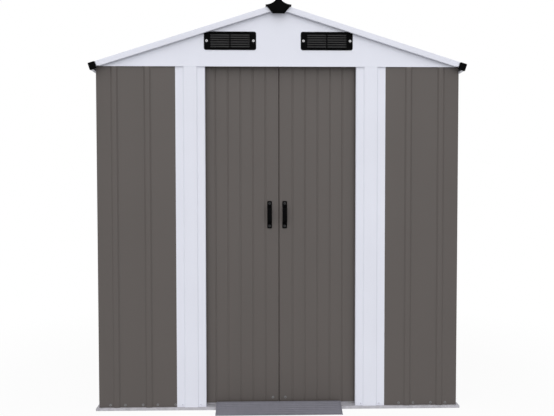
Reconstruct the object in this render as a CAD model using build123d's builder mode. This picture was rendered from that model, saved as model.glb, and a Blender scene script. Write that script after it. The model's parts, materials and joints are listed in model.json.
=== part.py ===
"""Metal storage shed: ribbed sheet walls on a rolled base frame, gable roof and two sliding doors."""
import os
from math import cos, floor, hypot, radians, sin, tan

from build123d import *

os.makedirs("parts", exist_ok=True)

# Driving sizes in millimetres. Z is up and the doorway faces -Y.
# Heights are taken from the ground; "out" is the distance in front of a wall's flat outer face.
wall_width = 1764.0
wall_depth = 1164.0
wall_height = 1678.0
roof_pitch = 17.6

# Sheet thicknesses and clearances
panel_sheet = 0.6
trim_sheet = 0.8
frame_sheet = 1.0
slide_clearance = 0.4
door_clearance = 5.0
fit_clearance = 0.3

# Ribs rolled into the wall and roof sheets
rib_pitch = 158.8
rib_base = 36.0
rib_top = 20.0
rib_rise = 6.0
rib_margin = 60.0
roof_rib_rise = 5.0
sheet_lap = 20.0
side_panel_ribs = 3
back_panel_ribs = 5

# Base frame
base_ledge = 13.0
deck_height = 13.0
base_upstand = 32.0
ground_flange = 40.0
track_lip = 8.0
sill_depth = 17.4
anchor_radius = 4.5
anchor_inset = 22.0
anchor_spacing = 900.0

# Doorway and jambs
doorway_width = 734.0
doorway_shift = 11.0
jamb_width = 144.0
jamb_face = 36.0
jamb_flank = 6.0

# Sliding doors
door_set = 32.0
door_fold = 16.0
door_lift = 24.0
door_rise = 26.0
door_lap = 28.0
meeting_gap = 1.5
meeting_shift = 3.0
groove_width = 10.0
groove_depth = 3.0
groove_first = 66.0
groove_pitch = 61.5
groove_margin = 40.0
rail_height = 40.0
rail_inset = 6.0

# Hooks over the top track and forks over the bottom track
track_clear = 9.0
track_stand = 17.0
track_web = 22.0
glide_length = 40.0
glide_wall = 3.5
glide_inset = 29.0
hook_cover = 8.0
fork_gap = 2.0

# Door handles
handle_length = 135.0
handle_width = 23.0
handle_stand = 28.0
handle_sheet = 5.0
handle_foot = 22.0
handle_slope = 18.0
handle_bend = 7.0
handle_corner = 5.0
handle_height = 958.5
left_handle_inset = 46.5
right_handle_inset = 28.0

# Gables and vents
gable_lap = 11.0
gable_flange = 18.0
eave_clearance = 2.6
vent_width = 252.0
vent_height = 88.0
vent_corner = 10.0
vent_depth = 6.0
vent_plate = 2.5
vent_spacing = 468.0
vent_rise = 123.0
louvre_width = 190.0
louvre_height = 68.0
louvre_sheet = 1.6
louvre_margin = 1.5
louvre_count = 6
mullion_width = 6.0
rim_width = 3.0
vent_hole_margin = 2.0

# Frame members under the roof and inside the walls
top_rail_drop = 42.0
top_rail_width = 25.0
brace_height = 60.0
brace_crown = 28.0
brace_depth = 15.4
brace_slope = 4.0
brace_setback = 70.0
brace_gap = 2.0
beam_half_width = 38.0
beam_drop = 30.0
purlin_place = 440.0
purlin_width = 40.0

# Roof trim
roof_reach = 26.0
ridge_gap = 12.0
roof_overhang = 15.0
fascia_out = 28.0
fascia_face = 27.2
fascia_flange = 18.0
fascia_return = 11.0
fascia_setback = 9.0
eave_trim_width = 22.5
eave_trim_height = 28.5
end_cap_width = 33.4
end_cap_height = 35.5
end_cap_rise = 5.7
end_cap_depth = 8.0
end_cap_lip = 1.2
end_cap_plug = 14.0
end_cap_corner = 3.0

# Ridge cap and its moulded ends
ridge_half_width = 56.0
ridge_top_half = 8.0
ridge_rise = 16.0
ridge_sag = 3.0
crown_tip_half = 62.0
crown_tip_rise = 9.3
crown_neck_half = 16.5
crown_neck_rise = 14.6
crown_top_half = 13.0
crown_top_rise = 26.0
crown_sag = 4.5
crown_foot_half = 28.0
crown_foot_drop = 43.8
crown_depth = 12.0
crown_hood = 34.0
crown_wall = 2.0

# Ramp at the doorway
ramp_width = 614.0
ramp_toe = 96.0
ramp_toe_flat = 10.0
ramp_head = 15.0
ramp_height = 33.0
ramp_sheet = 1.5
tread_count = 6
tread_width = 4.0
tread_rise = 1.0
tread_margin = 14.0

# Places worked out from the sizes above
half_width = wall_width / 2
half_depth = wall_depth / 2
wall_top = wall_height + gable_lap
slope = tan(radians(roof_pitch))
slope_cos = cos(radians(roof_pitch))
slope_sin = sin(radians(roof_pitch))
apex = wall_top + eave_clearance + half_width * slope
front_reach = ramp_toe
back_reach = fascia_out + crown_depth
front_y = (front_reach - back_reach - wall_depth) / 2
back_y = front_y + wall_depth
middle_y = front_y + half_depth
side_seam = side_panel_ribs * rib_pitch / 2
back_seam = back_panel_ribs * rib_pitch / 2
left_edge = doorway_shift - doorway_width / 2
right_edge = doorway_shift + doorway_width / 2
front_panel_edge = doorway_width / 2 + jamb_width / 2
jamb_reach = doorway_width / 2 + jamb_width + abs(doorway_shift)
track_reach = door_set - track_clear
jamb_return = track_reach - door_clearance
door_width = doorway_width / 2 + door_lap - meeting_gap / 2
door_top = wall_height + door_rise
door_back = door_set + door_fold
groove_count = 1 + floor((door_width - groove_first - groove_margin) / groove_pitch)
groove_flank = hypot(groove_width / 2, groove_depth)
rail_front = door_set + groove_depth + panel_sheet * groove_flank / (groove_width / 2)
bottom_track = door_set + door_fold / 2
lip_top = deck_height + track_lip
gable_out = rib_rise + panel_sheet
vent_height_place = wall_height + vent_rise
roof_crown = (roof_rib_rise + panel_sheet) / slope_cos
fascia_top = roof_crown + trim_sheet / slope_cos
eave_x = half_width + rib_rise + fit_clearance
trim_front = roof_reach + fit_clearance

# Each wall by the middle of its outer face, its outward direction and the direction sections run.
WALLS = {
    "front": (Vector(0, front_y, 0), Vector(0, -1, 0), Vector(-1, 0, 0), half_width),
    "right": (Vector(half_width, middle_y, 0), Vector(1, 0, 0), Vector(0, -1, 0), half_depth),
    "back": (Vector(0, back_y, 0), Vector(0, 1, 0), Vector(1, 0, 0), half_width),
    "left": (Vector(-half_width, middle_y, 0), Vector(-1, 0, 0), Vector(0, 1, 0), half_depth),
}
HANDS = {"left": -1, "right": 1}


def across(wall, start):
    """Plane across a wall: local x points out of it, local y up, and extruding runs along it."""
    face, outward, along, _ = WALLS[wall]
    return Plane(origin=face + along * start, x_dir=outward, z_dir=along)


def facing(wall, out):
    """Plane in front of a wall: local x runs to the right seen from outside, local y up."""
    face, outward, along, _ = WALLS[wall]
    return Plane(origin=face + outward * out, x_dir=along * -1, z_dir=outward)


def folded(plane, points, thickness, side=Side.LEFT):
    """Section of a folded sheet: the points of one face, thickened to one side."""
    with BuildSketch(plane) as section:
        with BuildLine():
            Polyline(*points)
            offset(amount=thickness, side=side, kind=Kind.INTERSECTION)
        make_face()
    return section.sketch


def outline(plane, points):
    """Closed outline on a plane."""
    with BuildSketch(plane) as shape:
        with BuildLine():
            Polyline(*points, close=True)
        make_face()
    return shape.sketch


def under(x):
    """Height of the roof's underside at a distance from the ridge."""
    return apex - slope * abs(x)


def band(hand, start, end, top, bottom):
    """Corners of a strip that follows the roof slope, by its rise above the roof's underside."""
    return [
        (hand * start, under(start) + top),
        (hand * end, under(end) + top),
        (hand * end, under(end) + bottom),
        (hand * start, under(start) + bottom),
    ]


def write(piece, node):
    """Label a finished piece and write it as its own file."""
    piece.part.label = node
    export_step(piece.part, f"parts/{node}.step")


# Base frame: four rolled rails, mitred at the corners
def mitre(wall, depth):
    """Plan of a rail with its ends cut at 45 degrees."""
    face, outward, along, reach = WALLS[wall]
    outer = reach + base_ledge
    ends = []
    for end, inset in ((-1, 0), (1, 0), (1, depth), (-1, depth)):
        ends.append(face + outward * (base_ledge - inset) + along * (end * (outer - inset)))
    return outline(Plane.XY, [(point.X, point.Y) for point in ends])


with BuildPart() as front_base_rail:
    front_points = [
        (-bottom_track, 0),
        (base_ledge, 0),
        (base_ledge, deck_height),
        (-bottom_track, deck_height),
        (-bottom_track, lip_top),
    ]
    front_run = half_width + base_ledge
    extrude(folded(across("front", -front_run), front_points, frame_sheet), amount=2 * front_run)
    extrude(mitre("front", base_ledge + bottom_track + frame_sheet), amount=lip_top, mode=Mode.INTERSECT)
write(front_base_rail, "front_base_rail")

rail_points = [
    (-ground_flange, 0),
    (base_ledge, 0),
    (base_ledge, deck_height),
    (-panel_sheet, deck_height),
    (-panel_sheet, deck_height + base_upstand),
]
for wall in ("left", "right", "back"):
    rail_run = WALLS[wall][3] + base_ledge
    with BuildPart() as base_rail:
        extrude(folded(across(wall, -rail_run), rail_points, frame_sheet), amount=2 * rail_run)
        rail_plan = mitre(wall, base_ledge + ground_flange)
        extrude(rail_plan, amount=deck_height + base_upstand, mode=Mode.INTERSECT)
        if wall in HANDS:
            anchor_x = HANDS[wall] * (half_width - anchor_inset)
            with BuildSketch(Plane.XY):
                for end in (-1, 1):
                    with Locations((anchor_x, middle_y + end * anchor_spacing / 2)):
                        Circle(anchor_radius)
            extrude(amount=frame_sheet, mode=Mode.SUBTRACT)
    write(base_rail, f"{wall}_base_rail")

# Angles on the deck that the front sheets are fixed to, one each side of the doorway
with BuildPart() as front_sill_angles:
    sill_points = [
        (-panel_sheet - sill_depth, deck_height),
        (-panel_sheet, deck_height),
        (-panel_sheet, deck_height + base_upstand),
    ]
    sill_end = half_width - panel_sheet - frame_sheet
    for sill_start in (-sill_end, front_panel_edge):
        sill = folded(across("front", sill_start), sill_points, frame_sheet)
        extrude(sill, amount=sill_end - front_panel_edge)
write(front_sill_angles, "front_sill_angles")


# Ribbed wall sheets
def rib_places(reach):
    """Rib centres of a wall from its middle, with one rib at the middle."""
    count = floor((reach - rib_margin) / rib_pitch)
    return [place * rib_pitch for place in range(-count, count + 1)]


def wall_run(wall, first, last, out=0):
    """Points of a ribbed sheet along a wall, between two distances from its middle."""
    face, outward, along, reach = WALLS[wall]

    def spot(place, rise):
        point = face - along * place + outward * rise
        return (point.X, point.Y)

    points = [spot(first, out)]
    for centre in rib_places(reach):
        hidden = wall == "front" and abs(centre) < jamb_reach + rib_base / 2
        if first < centre - rib_base / 2 and centre + rib_base / 2 < last and not hidden:
            points.append(spot(centre - rib_base / 2, out))
            points.append(spot(centre - rib_top / 2, rib_rise))
            points.append(spot(centre + rib_top / 2, rib_rise))
            points.append(spot(centre + rib_base / 2, out))
    points.append(spot(last, out))
    return points


def wall_sheet(points):
    """Plan of a wall sheet standing on the deck."""
    return folded(Plane.XY.offset(deck_height), points, panel_sheet)


sheet_height = wall_top - deck_height
leg_ends = {
    "front": front_panel_edge,
    "back": back_seam - sheet_lap / 2,
    "left": side_seam - sheet_lap / 2,
    "right": side_seam - sheet_lap / 2,
}
corners = {
    "front_left": ("left", "front"),
    "front_right": ("front", "right"),
    "back_right": ("right", "back"),
    "back_left": ("back", "left"),
}
for corner, (arriving, leaving) in corners.items():
    arriving_run = wall_run(arriving, leg_ends[arriving], WALLS[arriving][3])
    leaving_run = wall_run(leaving, -WALLS[leaving][3], -leg_ends[leaving])
    with BuildPart() as corner_panel:
        extrude(wall_sheet(arriving_run + leaving_run[1:]), amount=sheet_height)
    write(corner_panel, f"{corner}_corner_panel")

for wall, seam in (("left", side_seam), ("right", side_seam), ("back", back_seam)):
    panel_reach = seam + sheet_lap / 2
    with BuildPart() as wall_panel:
        extrude(wall_sheet(wall_run(wall, -panel_reach, panel_reach, panel_sheet)), amount=sheet_height)
    write(wall_panel, f"{wall}_wall_panel")

# Door jambs: a broad folded post with a raised middle and a return towards the doors
for hand, edge in (("left", left_edge), ("right", right_edge)):
    turn = HANDS[hand]
    jamb_profile = [
        (0, -jamb_return),
        (0, trim_sheet),
        (jamb_face, trim_sheet),
        (jamb_face + jamb_flank, rib_rise),
        (jamb_width - jamb_face - jamb_flank, rib_rise),
        (jamb_width - jamb_face, trim_sheet),
        (jamb_width, trim_sheet),
    ]
    jamb_points = [(edge + turn * across_face, front_y - out) for across_face, out in jamb_profile]
    jamb_side = Side.LEFT if hand == "right" else Side.RIGHT
    with BuildPart() as door_jamb:
        jamb_plan = folded(Plane.XY.offset(deck_height), jamb_points, trim_sheet, jamb_side)
        extrude(jamb_plan, amount=sheet_height)
    write(door_jamb, f"{hand}_door_jamb")

# Top track that carries the doors, lying on the tops of the front sheets and jambs
with BuildPart() as door_track:
    track_points = [
        (rib_rise, wall_top + track_web),
        (rib_rise, wall_top),
        (-track_reach, wall_top),
        (-track_reach, wall_top + track_stand),
    ]
    track_half = (apex - wall_top - track_web - eave_clearance) / slope
    track_section = folded(across("front", -track_half), track_points, frame_sheet, Side.RIGHT)
    extrude(track_section, amount=2 * track_half)
write(door_track, "door_track")

# Top rails round the other three walls
top_rail_level = wall_top - frame_sheet
top_rail_points = [
    (-panel_sheet, top_rail_level - top_rail_drop),
    (-panel_sheet, top_rail_level),
    (-panel_sheet - top_rail_width, top_rail_level),
]
side_rail_half = half_depth - panel_sheet
back_rail_half = half_width - panel_sheet - top_rail_width
for wall, half_run in (("left", side_rail_half), ("right", side_rail_half), ("back", back_rail_half)):
    with BuildPart() as top_rail:
        extrude(folded(across(wall, -half_run), top_rail_points, frame_sheet), amount=2 * half_run)
    write(top_rail, f"{wall}_top_rail")

# Hat-section braces half way up the side and back walls
brace_level = (deck_height + wall_top) / 2
brace_points = [
    (-panel_sheet, brace_level - brace_height / 2),
    (-panel_sheet, brace_level - brace_crown / 2 - brace_slope),
    (-panel_sheet - brace_depth, brace_level - brace_crown / 2),
    (-panel_sheet - brace_depth, brace_level + brace_crown / 2),
    (-panel_sheet, brace_level + brace_crown / 2 + brace_slope),
    (-panel_sheet, brace_level + brace_height / 2),
]
side_brace_run = wall_depth - brace_setback - panel_sheet
back_brace_half = half_width - panel_sheet - brace_depth - frame_sheet - brace_gap
with BuildPart() as wall_braces:
    left_brace = across("left", brace_setback - half_depth)
    right_brace = across("right", panel_sheet - half_depth)
    extrude(folded(left_brace, brace_points, frame_sheet), amount=side_brace_run)
    extrude(folded(right_brace, brace_points, frame_sheet), amount=side_brace_run)
    back_brace = across("back", -back_brace_half)
    extrude(folded(back_brace, brace_points, frame_sheet), amount=2 * back_brace_half)
write(wall_braces, "wall_braces")

# Gables: flat sheets on the rib tops, with vent holes and a flange under the roof
gable_outline = [
    (-half_width, wall_height),
    (half_width, wall_height),
    (half_width, under(half_width)),
    (0, apex),
    (-half_width, under(half_width)),
]
for wall in ("front", "back"):
    with BuildPart() as gable:
        extrude(outline(facing(wall, rib_rise), gable_outline), amount=panel_sheet)
        with BuildSketch(facing(wall, rib_rise)):
            for place in (-vent_spacing / 2, vent_spacing / 2):
                with Locations((place, vent_height_place)):
                    hole_margin = 2 * vent_hole_margin
                    Rectangle(louvre_width - hole_margin, louvre_height - hole_margin)
        extrude(amount=panel_sheet, mode=Mode.SUBTRACT)
        gable_slopes = gable_outline[2:]
        gable_band = folded(facing(wall, rib_rise), gable_slopes, panel_sheet)
        extrude(gable_band, amount=-gable_flange)
    write(gable, f"{wall}_gable")

# Louvred vents: a moulded plate with a rim, a mullion and sloping blades
for wall in ("front", "back"):
    with BuildPart() as vents:
        for place in (-vent_spacing / 2, vent_spacing / 2):
            with BuildSketch(facing(wall, gable_out)):
                with Locations((place, vent_height_place)):
                    RectangleRounded(vent_width, vent_height, vent_corner)
                    Rectangle(louvre_width, louvre_height, mode=Mode.SUBTRACT)
            extrude(amount=vent_plate)
            with BuildSketch(facing(wall, gable_out)):
                with Locations((place, vent_height_place)):
                    Rectangle(louvre_width + 2 * rim_width, louvre_height + 2 * rim_width)
                    Rectangle(louvre_width, louvre_height, mode=Mode.SUBTRACT)
                    Rectangle(mullion_width, louvre_height)
            extrude(amount=vent_depth)
            blade_pitch = (louvre_height - louvre_margin) / louvre_count
            blade_drop = blade_pitch - louvre_sheet - louvre_margin
            blade_run = across(wall, -place - louvre_width / 2)
            for blade in range(louvre_count):
                blade_top = vent_height_place + louvre_height / 2 - louvre_margin - blade * blade_pitch
                blade_points = [
                    (gable_out, blade_top),
                    (gable_out, blade_top - louvre_sheet),
                    (gable_out + vent_depth, blade_top - louvre_sheet - blade_drop),
                    (gable_out + vent_depth, blade_top - blade_drop),
                ]
                extrude(outline(blade_run, blade_points), amount=louvre_width)
    write(vents, f"{wall}_vents")

# Beam under the ridge and a purlin half way down each slope
member_run = wall_depth - 2 * (gable_flange - rib_rise)
member_start = rib_rise - gable_flange
with BuildPart() as ridge_beam:
    beam_points = [
        (-beam_half_width, under(beam_half_width) - beam_drop),
        (-beam_half_width, under(beam_half_width)),
        (0, apex),
        (beam_half_width, under(beam_half_width)),
        (beam_half_width, under(beam_half_width) - beam_drop),
    ]
    beam_section = folded(facing("front", member_start), beam_points, frame_sheet, Side.RIGHT)
    extrude(beam_section, amount=-member_run)
write(ridge_beam, "ridge_beam")

with BuildPart() as roof_purlins:
    purlin_inner = purlin_place - purlin_width / 2
    purlin_outer = purlin_place + purlin_width / 2
    purlin_points = [
        (purlin_inner, under(purlin_inner) - beam_drop),
        (purlin_inner, under(purlin_inner)),
        (purlin_outer, under(purlin_outer)),
        (purlin_outer, under(purlin_outer) - beam_drop),
    ]
    purlin_section = folded(facing("front", member_start), purlin_points, frame_sheet, Side.RIGHT)
    extrude(purlin_section, amount=-member_run)
    mirror(about=Plane.YZ)
write(roof_purlins, "roof_purlins")

# Roof sheets: ribs run down the slope, and both side edges are turned up as half ribs
roof_half = half_depth + roof_reach
roof_flank = (rib_base - rib_top) / 2
roof_points = [(-roof_half, roof_rib_rise), (-roof_half + rib_top, roof_rib_rise)]
roof_points.append((-roof_half + rib_top + roof_flank, 0))
for centre in rib_places(half_depth):
    roof_points.append((centre - rib_base / 2, 0))
    roof_points.append((centre - rib_top / 2, roof_rib_rise))
    roof_points.append((centre + rib_top / 2, roof_rib_rise))
    roof_points.append((centre + rib_base / 2, 0))
roof_points.append((roof_half - rib_top - roof_flank, 0))
roof_points.append((roof_half - rib_top, roof_rib_rise))
roof_points.append((roof_half, roof_rib_rise))
roof_run = (eave_x + roof_overhang - ridge_gap) / slope_cos
for hand, turn in HANDS.items():
    roof_plane = Plane(
        origin=(turn * ridge_gap, middle_y, under(ridge_gap)),
        x_dir=(0, turn, 0),
        z_dir=(turn * slope_cos, 0, -slope_sin),
    )
    with BuildPart() as roof_panel:
        extrude(folded(roof_plane, roof_points, panel_sheet), amount=roof_run)
    write(roof_panel, f"{hand}_roof_panel")

# Fascias: a face over the roof's front edge, a flange on the edge ribs and a return below
fascia_end = half_width - fascia_setback
fascia_foot = fascia_top - fascia_face / slope_cos
fascia_fold = trim_sheet / slope_cos
for wall in ("front", "back"):
    for hand, turn in HANDS.items():
        view_turn = turn if wall == "front" else -turn
        fascia_plane = facing(wall, fascia_out - trim_sheet)
        with BuildPart() as fascia:
            face_band = band(view_turn, 0, fascia_end, fascia_top, fascia_foot)
            extrude(outline(fascia_plane, face_band), amount=trim_sheet)
            flange_band = band(view_turn, 0, fascia_end, fascia_top, fascia_top - fascia_fold)
            extrude(outline(fascia_plane, flange_band), amount=-fascia_flange)
            return_band = band(view_turn, 0, fascia_end, fascia_foot + fascia_fold, fascia_foot)
            extrude(outline(fascia_plane, return_band), amount=-fascia_return)
            low_corner = under(fascia_end) + fascia_foot
            foot_cut = [
                (0, low_corner),
                (view_turn * (fascia_end + fascia_setback), low_corner),
                (view_turn * (fascia_end + fascia_setback), wall_height),
                (0, wall_height),
            ]
            cut_plane = facing(wall, fascia_out)
            extrude(outline(cut_plane, foot_cut), amount=-fascia_out, mode=Mode.SUBTRACT)
        write(fascia, f"{wall}_{hand}_fascia")


# Eave trims: channels under the roof edge, open towards the wall
def eave_spot(hand, down, rise):
    """Point in the eave section, by distance down the slope and square to it."""
    x = eave_x + down * slope_cos + rise * slope_sin
    return (hand * x, under(eave_x) - down * slope_sin + rise * slope_cos)


eave_points_down = [
    (0, 0),
    (eave_trim_width, 0),
    (eave_trim_width, -eave_trim_height),
    (eave_trim_height * slope, -eave_trim_height),
]
for hand, turn in HANDS.items():
    eave_points = [eave_spot(turn, down, rise) for down, rise in eave_points_down]
    eave_side = Side.RIGHT if hand == "right" else Side.LEFT
    with BuildPart() as eave_trim:
        eave_section = folded(facing("front", trim_front), eave_points, trim_sheet, eave_side)
        extrude(eave_section, amount=-(wall_depth + 2 * trim_front))
    write(eave_trim, f"{hand}_eave_trim")


def eave_end(wall, hand, down, rise):
    """Plane across an eave's end, centred on a point of the eave section and turned with the slope."""
    x, z = eave_spot(hand, down, rise)
    face, outward = WALLS[wall][:2]
    y = (face + outward * trim_front).Y
    return Plane(origin=(x, y, z), x_dir=(slope_cos, 0, -hand * slope_sin), z_dir=outward)


# Moulded caps over the eave ends: a plate as high as the roof sheet's ribs and a plug inside the trim
with BuildPart() as eave_end_caps:
    cap_down = eave_trim_width + end_cap_lip - end_cap_width / 2
    cap_rise = end_cap_rise - end_cap_height / 2
    plug_margin = 2 * (trim_sheet + fit_clearance)
    for wall in ("front", "back"):
        for turn in HANDS.values():
            with BuildSketch(eave_end(wall, turn, cap_down, cap_rise)):
                RectangleRounded(end_cap_width, end_cap_height, end_cap_corner)
            extrude(amount=end_cap_depth)
            with BuildSketch(eave_end(wall, turn, eave_trim_width / 2, -eave_trim_height / 2)):
                Rectangle(eave_trim_width - plug_margin, eave_trim_height - plug_margin)
            extrude(amount=-end_cap_plug)
write(eave_end_caps, "eave_end_caps")

# Ridge cap: a curved saddle over the joint of the roof sheets
ridge_out = fascia_out - trim_sheet
with BuildPart() as ridge_cap:
    with BuildSketch(facing("front", ridge_out)):
        with BuildLine():
            tip_height = under(ridge_half_width) + fascia_top + frame_sheet / slope_cos
            ridge_top = apex + ridge_rise
            SagittaArc((-ridge_half_width, tip_height), (-ridge_top_half, ridge_top), -ridge_sag)
            Line((-ridge_top_half, ridge_top), (ridge_top_half, ridge_top))
            SagittaArc((ridge_top_half, ridge_top), (ridge_half_width, tip_height), -ridge_sag)
            offset(amount=frame_sheet, side=Side.RIGHT, kind=Kind.INTERSECTION)
        make_face()
    extrude(amount=-(wall_depth + 2 * ridge_out))
write(ridge_cap, "ridge_cap")

# Moulded ends of the ridge: a flared plate on the fascias with a hood over the ridge cap
with BuildPart() as ridge_end_caps:
    for wall in ("front", "back"):
        crown_tip = apex + crown_tip_rise - crown_tip_half * slope + fascia_top
        crown_neck = apex + crown_neck_rise
        crown_top = apex + crown_top_rise
        with BuildSketch(facing(wall, fascia_out)):
            with BuildLine():
                Line((-crown_foot_half, apex - crown_foot_drop), (-crown_tip_half, crown_tip))
                SagittaArc((-crown_tip_half, crown_tip), (-crown_neck_half, crown_neck), -crown_sag)
                Line((-crown_neck_half, crown_neck), (-crown_top_half, crown_top))
                Line((-crown_top_half, crown_top), (crown_top_half, crown_top))
                Line((crown_top_half, crown_top), (crown_neck_half, crown_neck))
                SagittaArc((crown_neck_half, crown_neck), (crown_tip_half, crown_tip), -crown_sag)
                Line((crown_tip_half, crown_tip), (crown_foot_half, apex - crown_foot_drop))
                Line((crown_foot_half, apex - crown_foot_drop), (-crown_foot_half, apex - crown_foot_drop))
            make_face()
        extrude(amount=crown_depth)
        with BuildSketch(facing(wall, fascia_out)):
            with BuildLine():
                SagittaArc((-crown_tip_half, crown_tip), (-crown_neck_half, crown_neck), -crown_sag)
                Line((-crown_neck_half, crown_neck), (-crown_top_half, crown_top))
                Line((-crown_top_half, crown_top), (crown_top_half, crown_top))
                Line((crown_top_half, crown_top), (crown_neck_half, crown_neck))
                SagittaArc((crown_neck_half, crown_neck), (crown_tip_half, crown_tip), -crown_sag)
                offset(amount=crown_wall, side=Side.RIGHT, kind=Kind.INTERSECTION)
            make_face()
        extrude(amount=-crown_hood)
write(ridge_end_caps, "ridge_end_caps")

# Ramp: a treaded plate from the ground up over the front rail, with a leg on the deck and side cheeks
with BuildPart() as door_ramp:
    ramp_points = [
        (ramp_toe, ramp_sheet),
        (ramp_toe - ramp_toe_flat, ramp_sheet),
        (-ramp_head, ramp_height),
        (-ramp_head, deck_height),
    ]
    ramp_plane = across("front", -ramp_width / 2)
    extrude(folded(ramp_plane, ramp_points, ramp_sheet), amount=ramp_width)
    ramp_foot = Vector(ramp_toe - ramp_toe_flat, ramp_sheet)
    ramp_crest = Vector(-ramp_head, ramp_height)
    ramp_line = ramp_crest - ramp_foot
    cheek_points = [
        (ramp_foot.X, ramp_foot.Y),
        (ramp_foot.X, 0),
        (base_ledge, 0),
        (base_ledge, deck_height),
        (-ramp_head, deck_height),
        (-ramp_head, ramp_height),
    ]
    for cheek_start in (-ramp_width / 2, ramp_width / 2 - ramp_sheet):
        extrude(outline(across("front", cheek_start), cheek_points), amount=ramp_sheet)
    for tread in range(tread_count):
        tread_share = (tread + 1) / (tread_count + 1)
        tread_spot = ramp_foot + ramp_line * tread_share
        tread_plane = Plane(
            origin=(0, front_y - tread_spot.X, tread_spot.Y),
            x_dir=(1, 0, 0),
            z_dir=(0, -ramp_line.Y, -ramp_line.X),
        )
        with BuildSketch(tread_plane):
            Rectangle(ramp_width - 2 * tread_margin, tread_width)
        extrude(amount=tread_rise)
write(door_ramp, "door_ramp")


# Sliding doors
def door_plane(start):
    """Section plane across the doorway whose extrusion runs from one x towards smaller x."""
    return across("front", -start)


handle_insets = {"left": left_handle_inset, "right": right_handle_inset}
for hand, turn in HANDS.items():
    near_edge = meeting_shift + turn * meeting_gap / 2
    far_edge = near_edge + turn * door_width
    high_edge = max(near_edge, far_edge)

    with BuildPart() as door_panel:
        door_points = [(0, door_back), (0, door_set)]
        for groove in range(groove_count):
            groove_middle = groove_first + groove * groove_pitch
            door_points.append((groove_middle - groove_width / 2, door_set))
            door_points.append((groove_middle, door_set + groove_depth))
            door_points.append((groove_middle + groove_width / 2, door_set))
        door_points.append((door_width, door_set))
        door_points.append((door_width, door_back))
        door_plan = [(near_edge + turn * place, front_y + depth) for place, depth in door_points]
        door_side = Side.LEFT if hand == "right" else Side.RIGHT
        door_section = folded(Plane.XY.offset(door_lift), door_plan, panel_sheet, door_side)
        extrude(door_section, amount=door_top - door_lift)
    write(door_panel, f"{hand}_door_panel")

    with BuildPart() as door_rails:
        rail_levels = (
            door_lift + rail_inset,
            handle_height - rail_height / 2,
            door_top - rail_inset - rail_height,
        )
        for rail_level in rail_levels:
            channel_points = [
                (-door_back, rail_level),
                (-rail_front, rail_level),
                (-rail_front, rail_level + rail_height),
                (-door_back, rail_level + rail_height),
            ]
            channel = folded(door_plane(high_edge - panel_sheet), channel_points, frame_sheet)
            extrude(channel, amount=door_width - 2 * panel_sheet)
    write(door_rails, f"{hand}_door_rails")

    with BuildPart() as door_glides:
        hook_top = wall_top + track_stand + fit_clearance
        slot_back = track_reach + slide_clearance
        slot_front = track_reach - frame_sheet - slide_clearance
        hook_points = [
            (-door_set, wall_height + hook_cover),
            (-door_set, hook_top + glide_wall),
            (-slot_front + glide_wall, hook_top + glide_wall),
            (-slot_front + glide_wall, wall_top + track_stand / 2),
            (-slot_front, wall_top + track_stand / 2),
            (-slot_front, hook_top),
            (-slot_back, hook_top),
            (-slot_back, wall_height + hook_cover),
        ]
        fork_top = door_lift + rail_inset
        fork_slot_back = bottom_track + frame_sheet + slide_clearance
        fork_slot_front = bottom_track - slide_clearance
        fork_points = [
            (-fork_slot_back - glide_wall, deck_height + fork_gap),
            (-fork_slot_back - glide_wall, fork_top),
            (-fork_slot_front + glide_wall, fork_top),
            (-fork_slot_front + glide_wall, deck_height + fork_gap),
            (-fork_slot_front, deck_height + fork_gap),
            (-fork_slot_front, lip_top + fork_gap),
            (-fork_slot_back, lip_top + fork_gap),
            (-fork_slot_back, deck_height + fork_gap),
        ]
        for inset in (glide_inset, door_width - glide_inset):
            glide_high = near_edge + turn * inset + glide_length / 2
            for glide_points in (hook_points, fork_points):
                extrude(outline(door_plane(glide_high), glide_points), amount=glide_length)
    write(door_glides, f"{hand}_door_glides")

    with BuildPart() as door_handle:
        handle_x = meeting_shift + turn * handle_insets[hand]
        grip = -door_set + handle_stand - handle_sheet
        foot_end = handle_length / 2 - handle_foot
        with BuildSketch(door_plane(handle_x + handle_width / 2)):
            with BuildLine():
                FilletPolyline(
                    (-door_set, handle_height + handle_length / 2),
                    (-door_set, handle_height + foot_end),
                    (grip, handle_height + foot_end - handle_slope),
                    (grip, handle_height - foot_end + handle_slope),
                    (-door_set, handle_height - foot_end),
                    (-door_set, handle_height - handle_length / 2),
                    radius=handle_bend,
                )
                offset(amount=handle_sheet, side=Side.LEFT, kind=Kind.INTERSECTION)
            make_face()
        extrude(amount=handle_width)
        handle_ends = door_handle.faces().filter_by(Axis.Z).sort_by(Axis.Z)
        end_edges = handle_ends[0].edges() + handle_ends[-1].edges()
        fillet(end_edges.filter_by(Axis.Y), radius=handle_corner)
    write(door_handle, f"{hand}_door_handle")
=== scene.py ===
"""Dresses the storage shed: roll-formed sheets, moulded trim, screws, finishes and a plain studio stage."""
import json
import math

import bmesh
import bpy
from bpy.props import FloatProperty, FloatVectorProperty, IntProperty, PointerProperty
from mathutils import Matrix, Vector


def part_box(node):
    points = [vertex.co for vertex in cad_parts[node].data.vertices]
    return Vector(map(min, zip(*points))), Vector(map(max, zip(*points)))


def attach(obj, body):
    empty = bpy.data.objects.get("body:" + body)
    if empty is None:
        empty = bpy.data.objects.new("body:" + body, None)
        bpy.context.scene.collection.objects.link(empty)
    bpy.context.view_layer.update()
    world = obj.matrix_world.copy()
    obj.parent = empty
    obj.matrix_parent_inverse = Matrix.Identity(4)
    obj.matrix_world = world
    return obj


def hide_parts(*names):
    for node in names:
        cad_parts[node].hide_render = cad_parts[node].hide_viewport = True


bl_info = {
    "name": "Storage Shed Dressing",
    "version": (1, 0, 0),
    "blender": (4, 5, 0),
    "location": "View3D > Sidebar > Shed",
    "description": "Builds the visible sheets, mouldings and screws of a gable-front storage shed",
    "category": "Object",
}

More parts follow.
